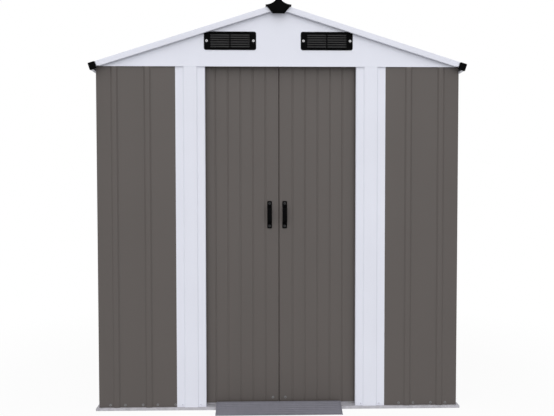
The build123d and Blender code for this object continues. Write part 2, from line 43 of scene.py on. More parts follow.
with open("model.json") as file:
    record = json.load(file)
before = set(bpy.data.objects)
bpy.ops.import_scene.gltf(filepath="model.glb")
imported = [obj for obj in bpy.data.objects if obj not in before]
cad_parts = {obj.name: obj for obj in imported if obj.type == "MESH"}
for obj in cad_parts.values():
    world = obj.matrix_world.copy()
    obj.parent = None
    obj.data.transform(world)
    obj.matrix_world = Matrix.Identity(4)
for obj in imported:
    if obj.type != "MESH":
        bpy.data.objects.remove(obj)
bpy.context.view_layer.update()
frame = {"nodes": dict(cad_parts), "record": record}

SIDES = {"left": -1, "right": 1}
ENDS = {"front": -1, "back": 1}

# Each corner sheet by the signs of x and y on its corner
CORNERS = {
    "front_left_corner_panel": (-1, -1),
    "front_right_corner_panel": (1, -1),
    "back_right_corner_panel": (1, 1),
    "back_left_corner_panel": (-1, 1),
}

# Directions that rails, trims and door parts are folded along
ALONG_X = (Vector((1, 0, 0)),)
ALONG_Y = (Vector((0, 1, 0)),)

# Directions that screws face on the front and the back
FORWARD = Vector((0, -1, 0))
BACKWARD = Vector((0, 1, 0))

# Angle up to which two faces are one flat
FLAT_ANGLE = math.radians(0.5)

# Angles from which two faces meet at a fold, at a crease in the shading or at a moulded corner
FOLD_ANGLE = math.radians(12)
CREASE_ANGLE = math.radians(35)
CORNER_ANGLE = math.radians(60)

# Least cosine between an edge and a direction that it runs along
ALONG_COSINE = 0.9995

# Points closer than this are one, in metres: on a path or a CAD mesh, and between a sheet's two faces
POINT_MERGE = 1e-5
FACE_MERGE = 1e-6

# Steps in a rounded bend of a sheet, a rounded edge, a moulded vent's edge, its plate's corners and its slats
BEND_STEPS = 4
EDGE_STEPS = 3
VENT_EDGE_STEPS = 2
VENT_CORNER_STEPS = 6
SLAT_STEPS = 3

# Shares of a slat's thickness: its rounding, and the height of the flat lip behind the slats
SLAT_ROUND_SHARE = 0.3
LIP_SHARE = 0.25

# Screws: sides of a head, its top and the bars of its cross recess as shares of its width. The recess is not
# cut: the bars lie flat on the head in black, painted shade for its hollow
SCREW_SIDES = 20
HEAD_TOP_SHARE = 0.72
RECESS_LENGTH_SHARE = 0.5
RECESS_WIDTH_SHARE = 0.11

# Thickness of the recess bars in metres, a thin sheet of painted shade, and the seed of the screws' turns
RECESS_SHADE_SHEET = 1e-4
SCREW_SEED = 0

# Distances of some screw rows from an edge, as multiples of the usual one
TOP_ROW = 4
EAVE_ROW = 3
DOOR_ROW = 2
JAMB_SIDE_ROW = 0.6

# Spangles to a metre: on rails and on screw heads
RAIL_SPANGLES = 70.0
SCREW_SPANGLES = 300.0


def length(name, description, default):
    """Property for a length in metres."""
    return FloatProperty(name=name, description=description, default=default, precision=4, unit="LENGTH")


def colour(name, description, default):
    """Property for a linear colour."""
    return FloatVectorProperty(
        name=name, description=description, default=(*default, 1.0), size=4, min=0.0, max=1.0, subtype="COLOR"
    )


class ShedSizes(bpy.types.PropertyGroup):
    """Sizes of the rolled sheets, mouldings and fixings"""

    sheet: length("Sheet", "Thickness of the wall, roof and door sheets", 0.0006)
    trim_sheet: length("Trim sheet", "Thickness of the white trim", 0.0008)
    bend: length("Bend", "Radius of the bends rolled into the sheets", 0.004)
    frame_bend: length("Frame bend", "Width of the rounded folds of rails and trims", 0.0016)
    fold_face: length("Fold face", "Least width of the faces beside a fold that is rounded", 0.006)
    rib_pitch: length("Rib pitch", "Spacing of the ribs from the middle of each wall", 0.1588)
    rib_base: length("Rib base", "Width of a rib at its foot", 0.036)
    rib_top: length("Rib top", "Width of a rib's flat crest", 0.020)
    rib_rise: length("Rib rise", "Height of a wall rib", 0.006)
    roof_rib_rise: length("Roof rib rise", "Height of a roof rib", 0.005)
    rib_margin: length("Rib margin", "Least distance from a rib to the corner of its wall", 0.060)
    doorway_clear: length("Doorway clear", "Half width of the front that has no ribs, for the jambs", 0.540)
    groove_width: length("Groove width", "Width of a door groove", 0.010)
    groove_depth: length("Groove depth", "Depth of a door groove", 0.003)
    groove_first: length("First groove", "Distance of the first groove from the meeting edge", 0.066)
    groove_pitch: length("Groove pitch", "Spacing of the door grooves", 0.0615)
    groove_margin: length("Groove margin", "Least flat left beyond the last groove", 0.040)
    jamb_face: length("Jamb face", "Width of the flat edge of a jamb", 0.036)
    jamb_flank: length("Jamb flank", "Width of the slope up to a jamb's raised middle", 0.006)
    roof_pitch: FloatProperty(
        name="Roof pitch", description="Slope of the roof", default=math.radians(17.6), subtype="ANGLE"
    )
    moulded_edge: length("Moulded edge", "Rounding of moulded plastic edges", 0.0010)
    vent_corner: length("Vent corner", "Corner radius of a vent plate", 0.010)
    vent_plate: length("Vent plate", "Thickness of a vent plate", 0.0025)
    louvre_width: length("Louvre width", "Width of the louvred opening", 0.190)
    louvre_height: length("Louvre height", "Height of the louvred opening", 0.068)
    louvre_rim: length("Louvre rim", "Width of the rim round the opening", 0.003)
    louvre_lip: length("Louvre lip", "Width of the flat lip behind the slats, inside the rim", 0.003)
    mullion: length("Mullion", "Width of the post in the middle of the louvres", 0.006)
    slat_count: IntProperty(name="Slats", description="Slats in one vent", default=6, min=1)
    slat_sheet: length("Slat thickness", "Thickness of a louvre slat", 0.0016)
    slat_gap: length("Slat gap", "Open height between two slats, seen from in front", 0.0015)
    vent_spacing: length("Vent spacing", "Distance between the middles of a gable's two vents", 0.468)
    vent_screw: length("Vent screw", "Distance of a vent's screws from its middle", 0.113)
    screw_head: length("Screw head", "Diameter of a screw head", 0.0085)
    screw_rise: length("Screw rise", "Height of a screw head over its washer", 0.0024)
    washer: length("Washer", "Diameter of a screw's washer", 0.0125)
    washer_rise: length("Washer rise", "Thickness of a screw's washer", 0.0009)
    screw_edge: length("Screw edge", "Distance of a screw row from the edge of its sheet", 0.012)
    screw_outward: length("Outward screw", "Distance from a rib to the screw on its outer side", 0.0315)
    screw_inward: length("Inward screw", "Distance from a rib to the screw on its inner side", 0.0405)
    screw_step: length("Seam step", "Spacing of the screws up a lapped seam", 0.400)
    jamb_screw: length("Jamb screw", "Distance of a jamb's screws from its middle", 0.045)
    door_screw: length("Door screw", "Distance of a door's screw from its meeting edge", 0.030)
    handle_screw: length("Handle screw", "Distance of a handle's screws from its ends", 0.012)
    handle_sheet: length("Handle thickness", "Thickness of a handle's foot", 0.005)


class ShedColours(bpy.types.PropertyGroup):
    """Colours of the shed's finishes, linear"""

    taupe: colour("Taupe", "Baked enamel of walls, doors and roof", (0.0935, 0.0820, 0.0770))
    white: colour("White", "Baked enamel of jambs, gables and trim", (0.733, 0.748, 0.830))
    back_coat: colour("Back coat", "Primer on the inner face of the sheets", (0.34, 0.34, 0.33))
    zinc: colour("Zinc", "Galvanised base rails and frame", (0.435, 0.427, 0.462))
    # Black is also laid on the screws' recess bars as painted shade for their hollows
    black: colour("Black", "Moulded vents, caps and handles", (0.0016, 0.0016, 0.0018))
    nylon: colour("Nylon", "Glides that carry and guide the doors", (0.36, 0.36, 0.365))
    # The slats' grey is lighter than the black of the vent moulding they belong to. It is painted light for
    # their upper slopes, which catch the light. On the handle screws it is their own dark grey
    slat: colour("Slat", "Louvre slats and handle screws", (0.046, 0.046, 0.047))
    ramp: colour("Ramp", "Grey sheet of the ramp", (0.212, 0.210, 0.246))
    screw: colour("Screw", "Dull screw heads of walls, doors and roof", (0.19, 0.188, 0.190))
    bright_screw: colour("Bright screw", "Plated screw heads of the vents", (0.55, 0.55, 0.56))


def sizes():
    """The shed's sizes in the open scene."""
    return bpy.context.scene.shed_sizes


def colours():
    """The shed's colours in the open scene."""
    return bpy.context.scene.shed_colours


# Node helpers
def add(tree, kind, inputs=None, **options):
    """Add a node, set its options and fill its inputs with values or other nodes' outputs."""
    made = tree.nodes.new(kind)
    for option, value in options.items():
        setattr(made, option, value)
    for key, value in (inputs or {}).items():
        if isinstance(value, bpy.types.NodeSocket):
            tree.links.new(value, made.inputs[key])
        else:
            made.inputs[key].default_value = value
    return made


def maths(tree, operation, *values):
    """Output of a maths node."""
    return add(tree, "ShaderNodeMath", dict(enumerate(values)), operation=operation).outputs[0]


def vectors(tree, operation, *values):
    """Output of a vector maths node."""
    return add(tree, "ShaderNodeVectorMath", dict(enumerate(values)), operation=operation).outputs[0]


def stretched(tree, vector, scale):
    """Output of a vector multiplied by a number."""
    return add(tree, "ShaderNodeVectorMath", {0: vector, "Scale": scale}, operation="SCALE").outputs[0]


# Finishes
def new_finish(name):
    """Empty node material: its tree, its shader and its object coordinates."""
    material = bpy.data.materials.new(name)
    material.use_nodes = True
    tree = material.node_tree
    shader = tree.nodes["Principled BSDF"]
    place = add(tree, "ShaderNodeTexCoord").outputs["Object"]
    return material, tree, shader, place


def noise(tree, place, scale, stretch=(1, 1, 1), detail=2.0):
    """Noise value over the object, stretched along its axes."""
    mapped = add(tree, "ShaderNodeMapping", {"Vector": place, "Scale": stretch}).outputs[0]
    return add(tree, "ShaderNodeTexNoise", {"Vector": mapped, "Scale": scale, "Detail": detail}).outputs[0]


def between(tree, factor, low, high):
    """Number that runs from low to high as a factor goes from 0 to 1."""
    return add(tree, "ShaderNodeMapRange", {"Value": factor, "To Min": low, "To Max": high}).outputs[0]


def tinted(tree, factor, base, low, high):
    """Colour that runs between two brightnesses of a base colour."""
    dark = [channel * low for channel in base[:3]] + [1.0]
    light = [channel * high for channel in base[:3]] + [1.0]
    # Inputs 6 and 7 and output 2 are the colours, of several sockets that share a name
    return add(tree, "ShaderNodeMix", {0: factor, 6: dark, 7: light}, data_type="RGBA").outputs[2]


def relief(tree, height, distance, strength, below=None):
    """Bump from a height value, on top of another bump if one is given."""
    inputs = {"Height": height, "Distance": distance, "Strength": strength}
    if below is not None:
        inputs["Normal"] = below
    return add(tree, "ShaderNodeBump", inputs).outputs[0]


def enamel(name, base, roughness):
    """Baked enamel on rolled sheet: faint roller streaks, orange peel and slow waves of the thin sheet."""
    material, tree, shader, place = new_finish(name)
    streaks = noise(tree, place, scale=9.0, stretch=(1, 1, 0.12), detail=3.0)
    cloud = noise(tree, place, scale=2.2)
    streak_share = 0.5
    mottle = maths(tree, "MULTIPLY_ADD", streaks, streak_share, cloud)
    centred = maths(tree, "SUBTRACT", mottle, streak_share / 2)
    tree.links.new(tinted(tree, centred, base, low=0.955, high=1.045), shader.inputs["Base Color"])
    spread = 0.05
    sheen = between(tree, streaks, low=roughness - spread, high=roughness + spread)
    tree.links.new(sheen, shader.inputs["Roughness"])
    swell = noise(tree, place, scale=4.5, stretch=(1, 1, 0.35), detail=0.0)
    waves = relief(tree, swell, distance=0.0012, strength=0.5)
    peel = relief(tree, noise(tree, place, scale=700.0), distance=0.00006, strength=0.5, below=waves)
    tree.links.new(peel, shader.inputs["Normal"])
    shader.inputs["Specular IOR Level"].default_value = 0.3
    return material


def back_coat():
    """Thin grey primer on the inner faces, a little patchy."""
    material, tree, shader, place = new_finish("back_coat_primer")
    patches = noise(tree, place, scale=16.0, stretch=(1, 1, 0.3), detail=4.0)
    tint = tinted(tree, patches, colours().back_coat, low=0.92, high=1.08)
    tree.links.new(tint, shader.inputs["Base Color"])
    shader.inputs["Roughness"].default_value = 0.62
    grain = relief(tree, noise(tree, place, scale=500.0), distance=0.00005, strength=0.5)
    tree.links.new(grain, shader.inputs["Normal"])
    return material


def galvanised(name, base, spangles):
    """Dull hot-dip zinc with spangles of differing tone and sheen."""
    material, tree, shader, place = new_finish(name)
    cells = add(tree, "ShaderNodeTexVoronoi", {"Vector": place, "Scale": spangles})
    grey = add(tree, "ShaderNodeSeparateColor", {"Color": cells.outputs["Color"]}).outputs[0]
    tree.links.new(tinted(tree, grey, base, low=0.9, high=1.1), shader.inputs["Base Color"])
    tree.links.new(between(tree, grey, low=0.50, high=0.64), shader.inputs["Roughness"])
    shader.inputs["Metallic"].default_value = 0.12
    runs = relief(tree, noise(tree, place, scale=120.0), distance=0.0002, strength=0.3)
    tree.links.new(runs, shader.inputs["Normal"])
    return material


def moulded(name, base):
    """Moulded plastic with a fine grain."""
    material, tree, shader, place = new_finish(name)
    patches = noise(tree, place, scale=30.0)
    tree.links.new(tinted(tree, patches, base, low=0.8, high=1.25), shader.inputs["Base Color"])
    tree.links.new(between(tree, patches, low=0.40, high=0.50), shader.inputs["Roughness"])
    shader.inputs["Specular IOR Level"].default_value = 0.02
    grain = add(tree, "ShaderNodeTexVoronoi", {"Vector": place, "Scale": 1100.0}).outputs["Distance"]
    tree.links.new(relief(tree, grain, distance=0.00012, strength=0.6), shader.inputs["Normal"])
    return material


def ramp_sheet():
    """Blue-grey coated ramp plate with scuffs that run up and down it."""
    material, tree, shader, place = new_finish("ramp_grey")
    scuffs = noise(tree, place, scale=60.0, stretch=(1, 0.12, 1), detail=5.0)
    tint = tinted(tree, scuffs, colours().ramp, low=0.88, high=1.12)
    tree.links.new(tint, shader.inputs["Base Color"])
    tree.links.new(between(tree, scuffs, low=0.45, high=0.62), shader.inputs["Roughness"])
    shader.inputs["Metallic"].default_value = 0.2
    grain = relief(tree, noise(tree, place, scale=450.0), distance=0.0001, strength=0.5)
    tree.links.new(grain, shader.inputs["Normal"])
    return material


# Each finish by its name, filled in by make_finishes
FINISHES = {}


def make_finishes():
    """Make every finish once."""
    hues = colours()
    FINISHES["taupe"] = enamel("taupe_enamel", hues.taupe, roughness=0.48)
    FINISHES["white"] = enamel("white_enamel", hues.white, roughness=0.42)
    FINISHES["coat"] = back_coat()
    FINISHES["zinc"] = galvanised("galvanised_zinc", hues.zinc, RAIL_SPANGLES)
    FINISHES["screw"] = galvanised("dull_screw", hues.screw, SCREW_SPANGLES)
    FINISHES["bright_screw"] = galvanised("plated_screw", hues.bright_screw, SCREW_SPANGLES)
    # Black moulding, and on the screws' recess bars painted shade
    FINISHES["black"] = moulded("black_moulding", hues.black)
    # On the slats a lighter copy of the black moulding, painted light for their lit slopes; on the handle
    # screws their own dark grey
    FINISHES["slat"] = moulded("painted_slat_light_and_screw_grey", hues.slat)
    FINISHES["nylon"] = moulded("nylon_moulding", hues.nylon)
    FINISHES["ramp"] = ramp_sheet()


# Making and fitting pieces
def new_object(name, data):
    """Object for a mesh, a lamp or a camera, in the scene's own collection."""
    made = bpy.data.objects.new(name, data)
    bpy.context.scene.collection.objects.link(made)
    return made


def body_of(node):
    """Body that carries a node of the frame."""
    for body, members in frame["record"]["behaviour"]["bodies"].items():
        if node in members:
            return body
    raise KeyError(f"no body carries {node}")


def fit(piece, finish, *nodes, body=None):
    """Set a finished piece on its body in place of its nodes."""
    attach(piece, body or body_of(nodes[0]))
    if nodes:
        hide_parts(*nodes)


def evaluated(mesh, tree, values):
    """Plain mesh that a node tree makes from a mesh, with the tree's inputs given by name."""
    carrier = new_object("carrier", mesh)
    modifier = carrier.modifiers.new("Shape", "NODES")
    modifier.node_group = tree
    for item in tree.interface.items_tree:
        if item.in_out == "INPUT" and item.name in values:
            modifier[item.identifier] = values[item.name]
    graph = bpy.context.evaluated_depsgraph_get()
    made = bpy.data.meshes.new_from_object(carrier.evaluated_get(graph), depsgraph=graph)
    bpy.data.objects.remove(carrier)
    bpy.data.meshes.remove(mesh)
    return made


# Node trees that make the sheets, vents and screws
def new_tree(name, inputs):
    """Geometry node tree with a mesh going through it and named inputs: the tree and its input node."""
    tree = bpy.data.node_groups.new(name, "GeometryNodeTree")
    tree.interface.new_socket("Geometry", in_out="INPUT", socket_type="NodeSocketGeometry")
    tree.interface.new_socket("Geometry", in_out="OUTPUT", socket_type="NodeSocketGeometry")
    for label, kind in inputs.items():
        tree.interface.new_socket(label, in_out="INPUT", socket_type=f"NodeSocket{kind}")
    return tree, tree.nodes.new("NodeGroupInput")


def joined(tree, *parts):
    """Output of several geometries joined."""
    made = tree.nodes.new("GeometryNodeJoinGeometry")
    for part in parts:
        tree.links.new(part, made.inputs[0])
    return made.outputs[0]


def merged(tree, distance, *parts):
    """Output of several geometries joined, with points closer than a distance made one."""
    options = {"Geometry": joined(tree, *parts), "Distance": distance}
    return add(tree, "GeometryNodeMergeByDistance", options).outputs[0]


def attribute(tree, name, kind):
    """Output of an attribute that the mesh carries by name."""
    return add(tree, "GeometryNodeInputNamedAttribute", {"Name": name}, data_type=kind).outputs[0]


def mark(tree, geometry, name):
    """Output of a geometry with its faces marked by name."""
    given = {"Geometry": geometry, "Name": name, "Value": True}
    return add(tree, "GeometryNodeStoreNamedAttribute", given, data_type="BOOLEAN", domain="FACE").outputs[0]


def xyz(tree, x, y, z):
    """Output of a vector made of three numbers."""
    return add(tree, "ShaderNodeCombineXYZ", {0: x, 1: y, 2: z}).outputs[0]


def rounded(tree, curve, radius, steps):
    """Output of a curve with its corners rounded, by less than the radius where a side is too short."""
    options = {"Curve": curve, "Radius": radius, "Limit Radius": True, "Count": steps}
    return add(tree, "GeometryNodeFilletCurve", options, mode="POLY").outputs[0]


def pushed(tree, mesh, mode, scale, **more):
    """Node that draws a mesh's edges or faces out by a distance, or by a share of a given offset."""
    options = {"Mesh": mesh, "Offset Scale": scale, **more}
    return add(tree, "GeometryNodeExtrudeMesh", options, mode=mode)


def finish_tree(tree, geometry, material, chosen, second):
    """End a tree: real instances, smooth faces with sharp corners, a material and one for chosen faces."""
    real = add(tree, "GeometryNodeRealizeInstances", {"Geometry": geometry}).outputs[0]
    smooth = add(tree, "GeometryNodeSetShadeSmooth", {"Geometry": real}, domain="FACE").outputs[0]
    angle = add(tree, "GeometryNodeInputMeshEdgeAngle").outputs["Unsigned Angle"]
    corner = maths(tree, "GREATER_THAN", angle, CREASE_ANGLE)
    options = {"Geometry": smooth, "Selection": corner, "Shade Smooth": False}
    creased = add(tree, "GeometryNodeSetShadeSmooth", options, domain="EDGE").outputs[0]
    coated = add(tree, "GeometryNodeSetMaterial", {"Geometry": creased, "Material": material}).outputs[0]
    inner = {"Geometry": coated, "Selection": chosen, "Material": second}
    add(tree, "NodeGroupOutput", {"Geometry": add(tree, "GeometryNodeSetMaterial", inner).outputs[0]})
    return tree


def rolled_sheet_tree():
    """Tree that rolls a sheet: ribs at the marked points of its path, rounded bends and a thickness."""
    tree, given = new_tree("Rolled sheet", {
        "Rib base": "Float",
        "Rib top": "Float",
        "Rib rise": "Float",
        "Bend": "Float",
        "Sheet": "Float",
        "Run": "Vector",
        "Face": "Material",
        "Back": "Material",
    })
    value = given.outputs
    is_rib = attribute(tree, "rib", "BOOLEAN")
    along = attribute(tree, "along", "FLOAT")
    heading = attribute(tree, "heading", "FLOAT_VECTOR")
    marks = {"Mesh": value["Geometry"], "Selection": is_rib}
    centres = add(tree, "GeometryNodeMeshToPoints", marks).outputs[0]
    # Four points a rib: foot, crest, crest and foot, numbered 0 to 3 from one side to the other
    copies = add(tree, "GeometryNodeDuplicateElements", {"Geometry": centres, "Amount": 4}, domain="POINT")
    copy = copies.outputs["Duplicate Index"]
    side = maths(tree, "SUBTRACT", maths(tree, "MULTIPLY", maths(tree, "GREATER_THAN", copy, 1.5), 2.0), 1.0)
    crest = maths(tree, "LESS_THAN", maths(tree, "ABSOLUTE", maths(tree, "SUBTRACT", copy, 1.5)), 1.0)
    narrowing = maths(tree, "MULTIPLY", crest, maths(tree, "SUBTRACT", value["Rib base"], value["Rib top"]))
    half = maths(tree, "MULTIPLY", maths(tree, "SUBTRACT", value["Rib base"], narrowing), 0.5)
    shift = maths(tree, "MULTIPLY", side, half)
    outward = vectors(tree, "NORMALIZE", vectors(tree, "CROSS_PRODUCT", heading, value["Run"]))
    lift = maths(tree, "MULTIPLY", crest, value["Rib rise"])
    offset = vectors(tree, "ADD", stretched(tree, heading, shift), stretched(tree, outward, lift))
    moved = add(tree, "GeometryNodeSetPosition", {"Geometry": copies.outputs[0], "Offset": offset}).outputs[0]
    order = {"Geometry": moved, "Name": "along", "Value": maths(tree, "ADD", along, shift)}
    ribs = add(tree, "GeometryNodeStoreNamedAttribute", order, data_type="FLOAT", domain="POINT").outputs[0]
    bare = {"Mesh": value["Geometry"], "Selection": maths(tree, "SUBTRACT", 1.0, is_rib)}
    folds = add(tree, "GeometryNodeMeshToPoints", bare).outputs[0]
    points = merged(tree, POINT_MERGE, folds, ribs)
    path = add(tree, "GeometryNodePointsToCurves", {"Points": points, "Weight": along}).outputs[0]
    bent = rounded(tree, path, value["Bend"], BEND_STEPS)
    section = add(tree, "GeometryNodeCurveToMesh", {"Curve": bent}).outputs[0]
    inside = pushed(tree, section, "EDGES", 1.0, Offset=value["Run"]).outputs[0]
    face = add(tree, "GeometryNodeFlipFaces", {"Mesh": inside}).outputs[0]
    back = pushed(tree, inside, "FACES", value["Sheet"], Individual=False)
    closed = merged(tree, FACE_MERGE, face, back.outputs["Mesh"])
    return finish_tree(tree, closed, value["Face"], back.outputs["Top"], value["Back"])


def point_mesh(name, places):
    """Mesh of loose points."""
    mesh = bpy.data.meshes.new(name)
    mesh.from_pydata(places, [], [])
    return mesh


def set_vectors(mesh, name, vectors_by_point):
    """Give each point of a mesh a vector by name."""
    layer = mesh.attributes.new(name, "FLOAT_VECTOR", "POINT")
    layer.data.foreach_set("vector", [number for vector in vectors_by_point for number in vector])


def sheet_path(folds, ribs):
    """Mesh of points for the rolling tree: the folds of a path in order, and rib centres along it."""
    mesh = point_mesh("sheet_path", [*folds, *ribs])
    legs = []
    travelled = [0.0]
    for start, end in zip(folds, folds[1:]):
        legs.append((start, (end - start).normalized(), travelled[-1]))
        travelled.append(travelled[-1] + (end - start).length)
    headings = [Vector((0, 0, 0)) for _ in folds]
    for rib in ribs:
        start, heading, before = min(
            legs, key=lambda leg: ((rib - leg[0]) - leg[1] * (rib - leg[0]).dot(leg[1])).length
        )
        travelled.append(before + (rib - start).dot(heading))
        headings.append(heading)
    is_rib = [False] * len(folds) + [True] * len(ribs)
    mesh.attributes.new("rib", "BOOLEAN", "POINT").data.foreach_set("value", is_rib)
    mesh.attributes.new("along", "FLOAT", "POINT").data.foreach_set("value", travelled)
    set_vectors(mesh, "heading", headings)
    return mesh


def roll_sheet(node, folds, ribs, run, rib, finish, sheet):
    """Roll a sheet along a path of folds, with ribs of one base, top and rise, in place of its node."""
    base, top, rise = rib
    values = {
        "Rib base": base,
        "Rib top": top,
        "Rib rise": rise,
        "Bend": sizes().bend,
        "Sheet": sheet,
        "Run": run,
        "Face": FINISHES[finish],
        "Back": FINISHES["coat"],
    }
    tree = bpy.data.node_groups.get("Rolled sheet") or rolled_sheet_tree()
    piece = new_object(f"{node}_finish", evaluated(sheet_path(folds, ribs), tree, values))
    fit(piece, finish, node)


def rectangle(tree, width, height):
    """Curve of a rectangle round the origin."""
    return add(tree, "GeometryNodeCurvePrimitiveQuadrilateral", {"Width": width, "Height": height}).outputs[0]


def plate(tree, height, *curves):
    """Closed plate: flat curves filled in and raised to a height."""
    flat = add(tree, "GeometryNodeFillCurve", {"Curve": joined(tree, *curves)}, mode="NGONS").outputs[0]
    raised = pushed(tree, flat, "FACES", height, Individual=False).outputs[0]
    base = add(tree, "GeometryNodeFlipFaces", {"Mesh": flat}).outputs[0]
    return merged(tree, FACE_MERGE, base, raised)


def vent_tree():
    """Tree that sets a louvred vent at each point: plate, rim, middle post and sloping slats."""
    tree, given = new_tree("Louvred vents", {
        "Width": "Float",
        "Height": "Float",
        "Corner": "Float",
        "Plate": "Float",
        "Depth": "Float",
        "Opening width": "Float",
        "Opening height": "Float",
        "Rim": "Float",
        "Lip": "Float",
        "Post": "Float",
        "Slats": "Int",
        "Slat sheet": "Float",
        "Slat gap": "Float",
        "Facing": "Vector",
        "Face": "Material",
        "Slat": "Material",
    })
    value = given.outputs
    wide, tall, sheet = value["Opening width"], value["Opening height"], value["Slat sheet"]
    rim, gap, depth = value["Rim"], value["Slat gap"], value["Depth"]
    square = rectangle(tree, value["Width"], value["Height"])
    outer = rounded(tree, square, value["Corner"], VENT_CORNER_STEPS)
    hole = rectangle(tree, maths(tree, "ADD", wide, rim), maths(tree, "ADD", tall, rim))
    twice = maths(tree, "MULTIPLY", rim, 2.0)
    brim = rectangle(tree, maths(tree, "ADD", wide, twice), maths(tree, "ADD", tall, twice))
    body = plate(tree, value["Plate"], outer, hole)
    edge = plate(tree, depth, brim, rectangle(tree, wide, tall))
    post = plate(tree, depth, rectangle(tree, value["Post"], tall))
    narrower = maths(tree, "MULTIPLY", value["Lip"], 2.0)
    mouth = rectangle(tree, maths(tree, "SUBTRACT", wide, narrower), maths(tree, "SUBTRACT", tall, narrower))
    lip = plate(tree, maths(tree, "MULTIPLY", sheet, LIP_SHARE), brim, mouth)
    pitch = maths(tree, "DIVIDE", maths(tree, "SUBTRACT", tall, gap), value["Slats"])
    drop = maths(tree, "SUBTRACT", maths(tree, "SUBTRACT", pitch, gap), sheet)
    end = maths(tree, "MULTIPLY", wide, -0.5)
    under = maths(tree, "MULTIPLY", sheet, -1.0)
    nose = maths(tree, "MULTIPLY", drop, -1.0)
    section = {
        "Point 1": xyz(tree, end, 0.0, 0.0),
        "Point 2": xyz(tree, end, under, 0.0),
        "Point 3": xyz(tree, end, maths(tree, "ADD", under, nose), depth),
        "Point 4": xyz(tree, end, nose, depth),
    }
    profile = add(tree, "GeometryNodeCurvePrimitiveQuadrilateral", section, mode="POINTS").outputs[0]
    soft = rounded(tree, profile, maths(tree, "MULTIPLY", sheet, SLAT_ROUND_SHARE), SLAT_STEPS)
    ring = add(tree, "GeometryNodeCurveToMesh", {"Curve": soft}).outputs[0]
    swept = pushed(tree, ring, "EDGES", 1.0, Offset=xyz(tree, wide, 0.0, 0.0)).outputs[0]
    # Slat faces are marked for the lighter grey, painted light for their lit upper slopes
    slat = mark(tree, swept, "slat")
    top = maths(tree, "SUBTRACT", maths(tree, "MULTIPLY", tall, 0.5), gap)
    rows = {
        "Count": value["Slats"],
        "Start Location": xyz(tree, 0.0, top, 0.0),
        "Offset": xyz(tree, 0.0, maths(tree, "MULTIPLY", pitch, -1.0), 0.0),
    }
    levels = add(tree, "GeometryNodeMeshLine", rows).outputs[0]
    slats = add(tree, "GeometryNodeInstanceOnPoints", {"Points": levels, "Instance": slat}).outputs[0]
    vent = joined(tree, body, edge, post, lip, slats)
    turn = add(tree, "FunctionNodeEulerToRotation", {0: value["Facing"]}).outputs[0]
    places = {"Points": value["Geometry"], "Instance": vent, "Rotation": turn}
    vents = add(tree, "GeometryNodeInstanceOnPoints", places).outputs[0]
    return finish_tree(tree, vents, value["Face"], attribute(tree, "slat", "BOOLEAN"), value["Slat"])


def fixings_tree():
    """Tree that sets a cross-head screw on a washer at each point, along the point's facing; its recess is a
    flat black cross of painted shade.
    """
    tree, given = new_tree("Fixings", {
        "Head": "Float",
        "Head rise": "Float",
        "Washer": "Float",
        "Washer rise": "Float",
        "Face": "Material",
        "Recess shade": "Material",
    })
    value = given.outputs
    washer_rise = value["Washer rise"]
    radius = maths(tree, "MULTIPLY", value["Head"], 0.5)
    disc = {
        "Vertices": SCREW_SIDES,
        "Radius": maths(tree, "MULTIPLY", value["Washer"], 0.5),
        "Depth": maths(tree, "MULTIPLY", washer_rise, 2.0),
    }
    washer = add(tree, "GeometryNodeMeshCylinder", disc).outputs[0]
    height = maths(tree, "ADD", value["Head rise"], washer_rise)
    pan = {
        "Vertices": SCREW_SIDES,
        "Radius Bottom": radius,
        "Radius Top": maths(tree, "MULTIPLY", radius, HEAD_TOP_SHARE),
        "Depth": height,
    }
    head = add(tree, "GeometryNodeMeshCone", pan).outputs[0]
    long = maths(tree, "MULTIPLY", value["Head"], RECESS_LENGTH_SHARE)
    thin = maths(tree, "MULTIPLY", value["Head"], RECESS_WIDTH_SHARE)
    # Two thin bars on top of the head in the black finish: painted shade for the hollow of the cross
    cross = [
        add(tree, "GeometryNodeMeshCube", {"Size": xyz(tree, *size, RECESS_SHADE_SHEET)}).outputs[0]
        for size in ((long, thin), (thin, long))
    ]
    lifted = {
        "Geometry": mark(tree, joined(tree, *cross), "recess"),
        "Translation": xyz(tree, 0.0, 0.0, height),
    }
    recess = add(tree, "GeometryNodeTransform", lifted).outputs[0]
    facing = attribute(tree, "facing", "FLOAT_VECTOR")
    aligned = add(tree, "FunctionNodeAlignRotationToVector", {"Vector": facing}, axis="Z").outputs[0]
    # Input 3 is the largest number and output 1 the number drawn, of several sockets that share a name
    draw = {3: math.pi, "Seed": SCREW_SEED}
    angle = add(tree, "FunctionNodeRandomValue", draw, data_type="FLOAT").outputs[1]
    spin = add(tree, "FunctionNodeAxisAngleToRotation", {"Axis": (0, 0, 1), "Angle": angle}).outputs[0]
    turning = {"Rotation": aligned, "Rotate By": spin}
    turn = add(tree, "FunctionNodeRotateRotation", turning, rotation_space="LOCAL").outputs[0]
    screw = joined(tree, washer, head, recess)
    places = {"Points": value["Geometry"], "Instance": screw, "Rotation": turn}
    screws = add(tree, "GeometryNodeInstanceOnPoints", places).outputs[0]
    return finish_tree(tree, screws, value["Face"], attribute(tree, "recess", "BOOLEAN"), value["Recess shade"])


# Pieces that take a node's own shape
def merged_copy(node):
    """Editable copy of a node's mesh with its triangles joined into flat faces."""
    work = bmesh.new()
    work.from_mesh(frame["nodes"][node].data)
    bmesh.ops.remove_doubles(work, verts=work.verts, dist=POINT_MERGE)
    bmesh.ops.dissolve_limit(work, angle_limit=FLAT_ANGLE, verts=work.verts, edges=work.edges)
    return work


def face_width(face, edge):
    """How far a face reaches from one of its edges."""
    start = edge.verts[0].co
    line = (edge.verts[1].co - start).normalized()
    reaches = [corner.co - start for corner in face.verts]
    return max((reach - line * reach.dot(line)).length for reach in reaches)


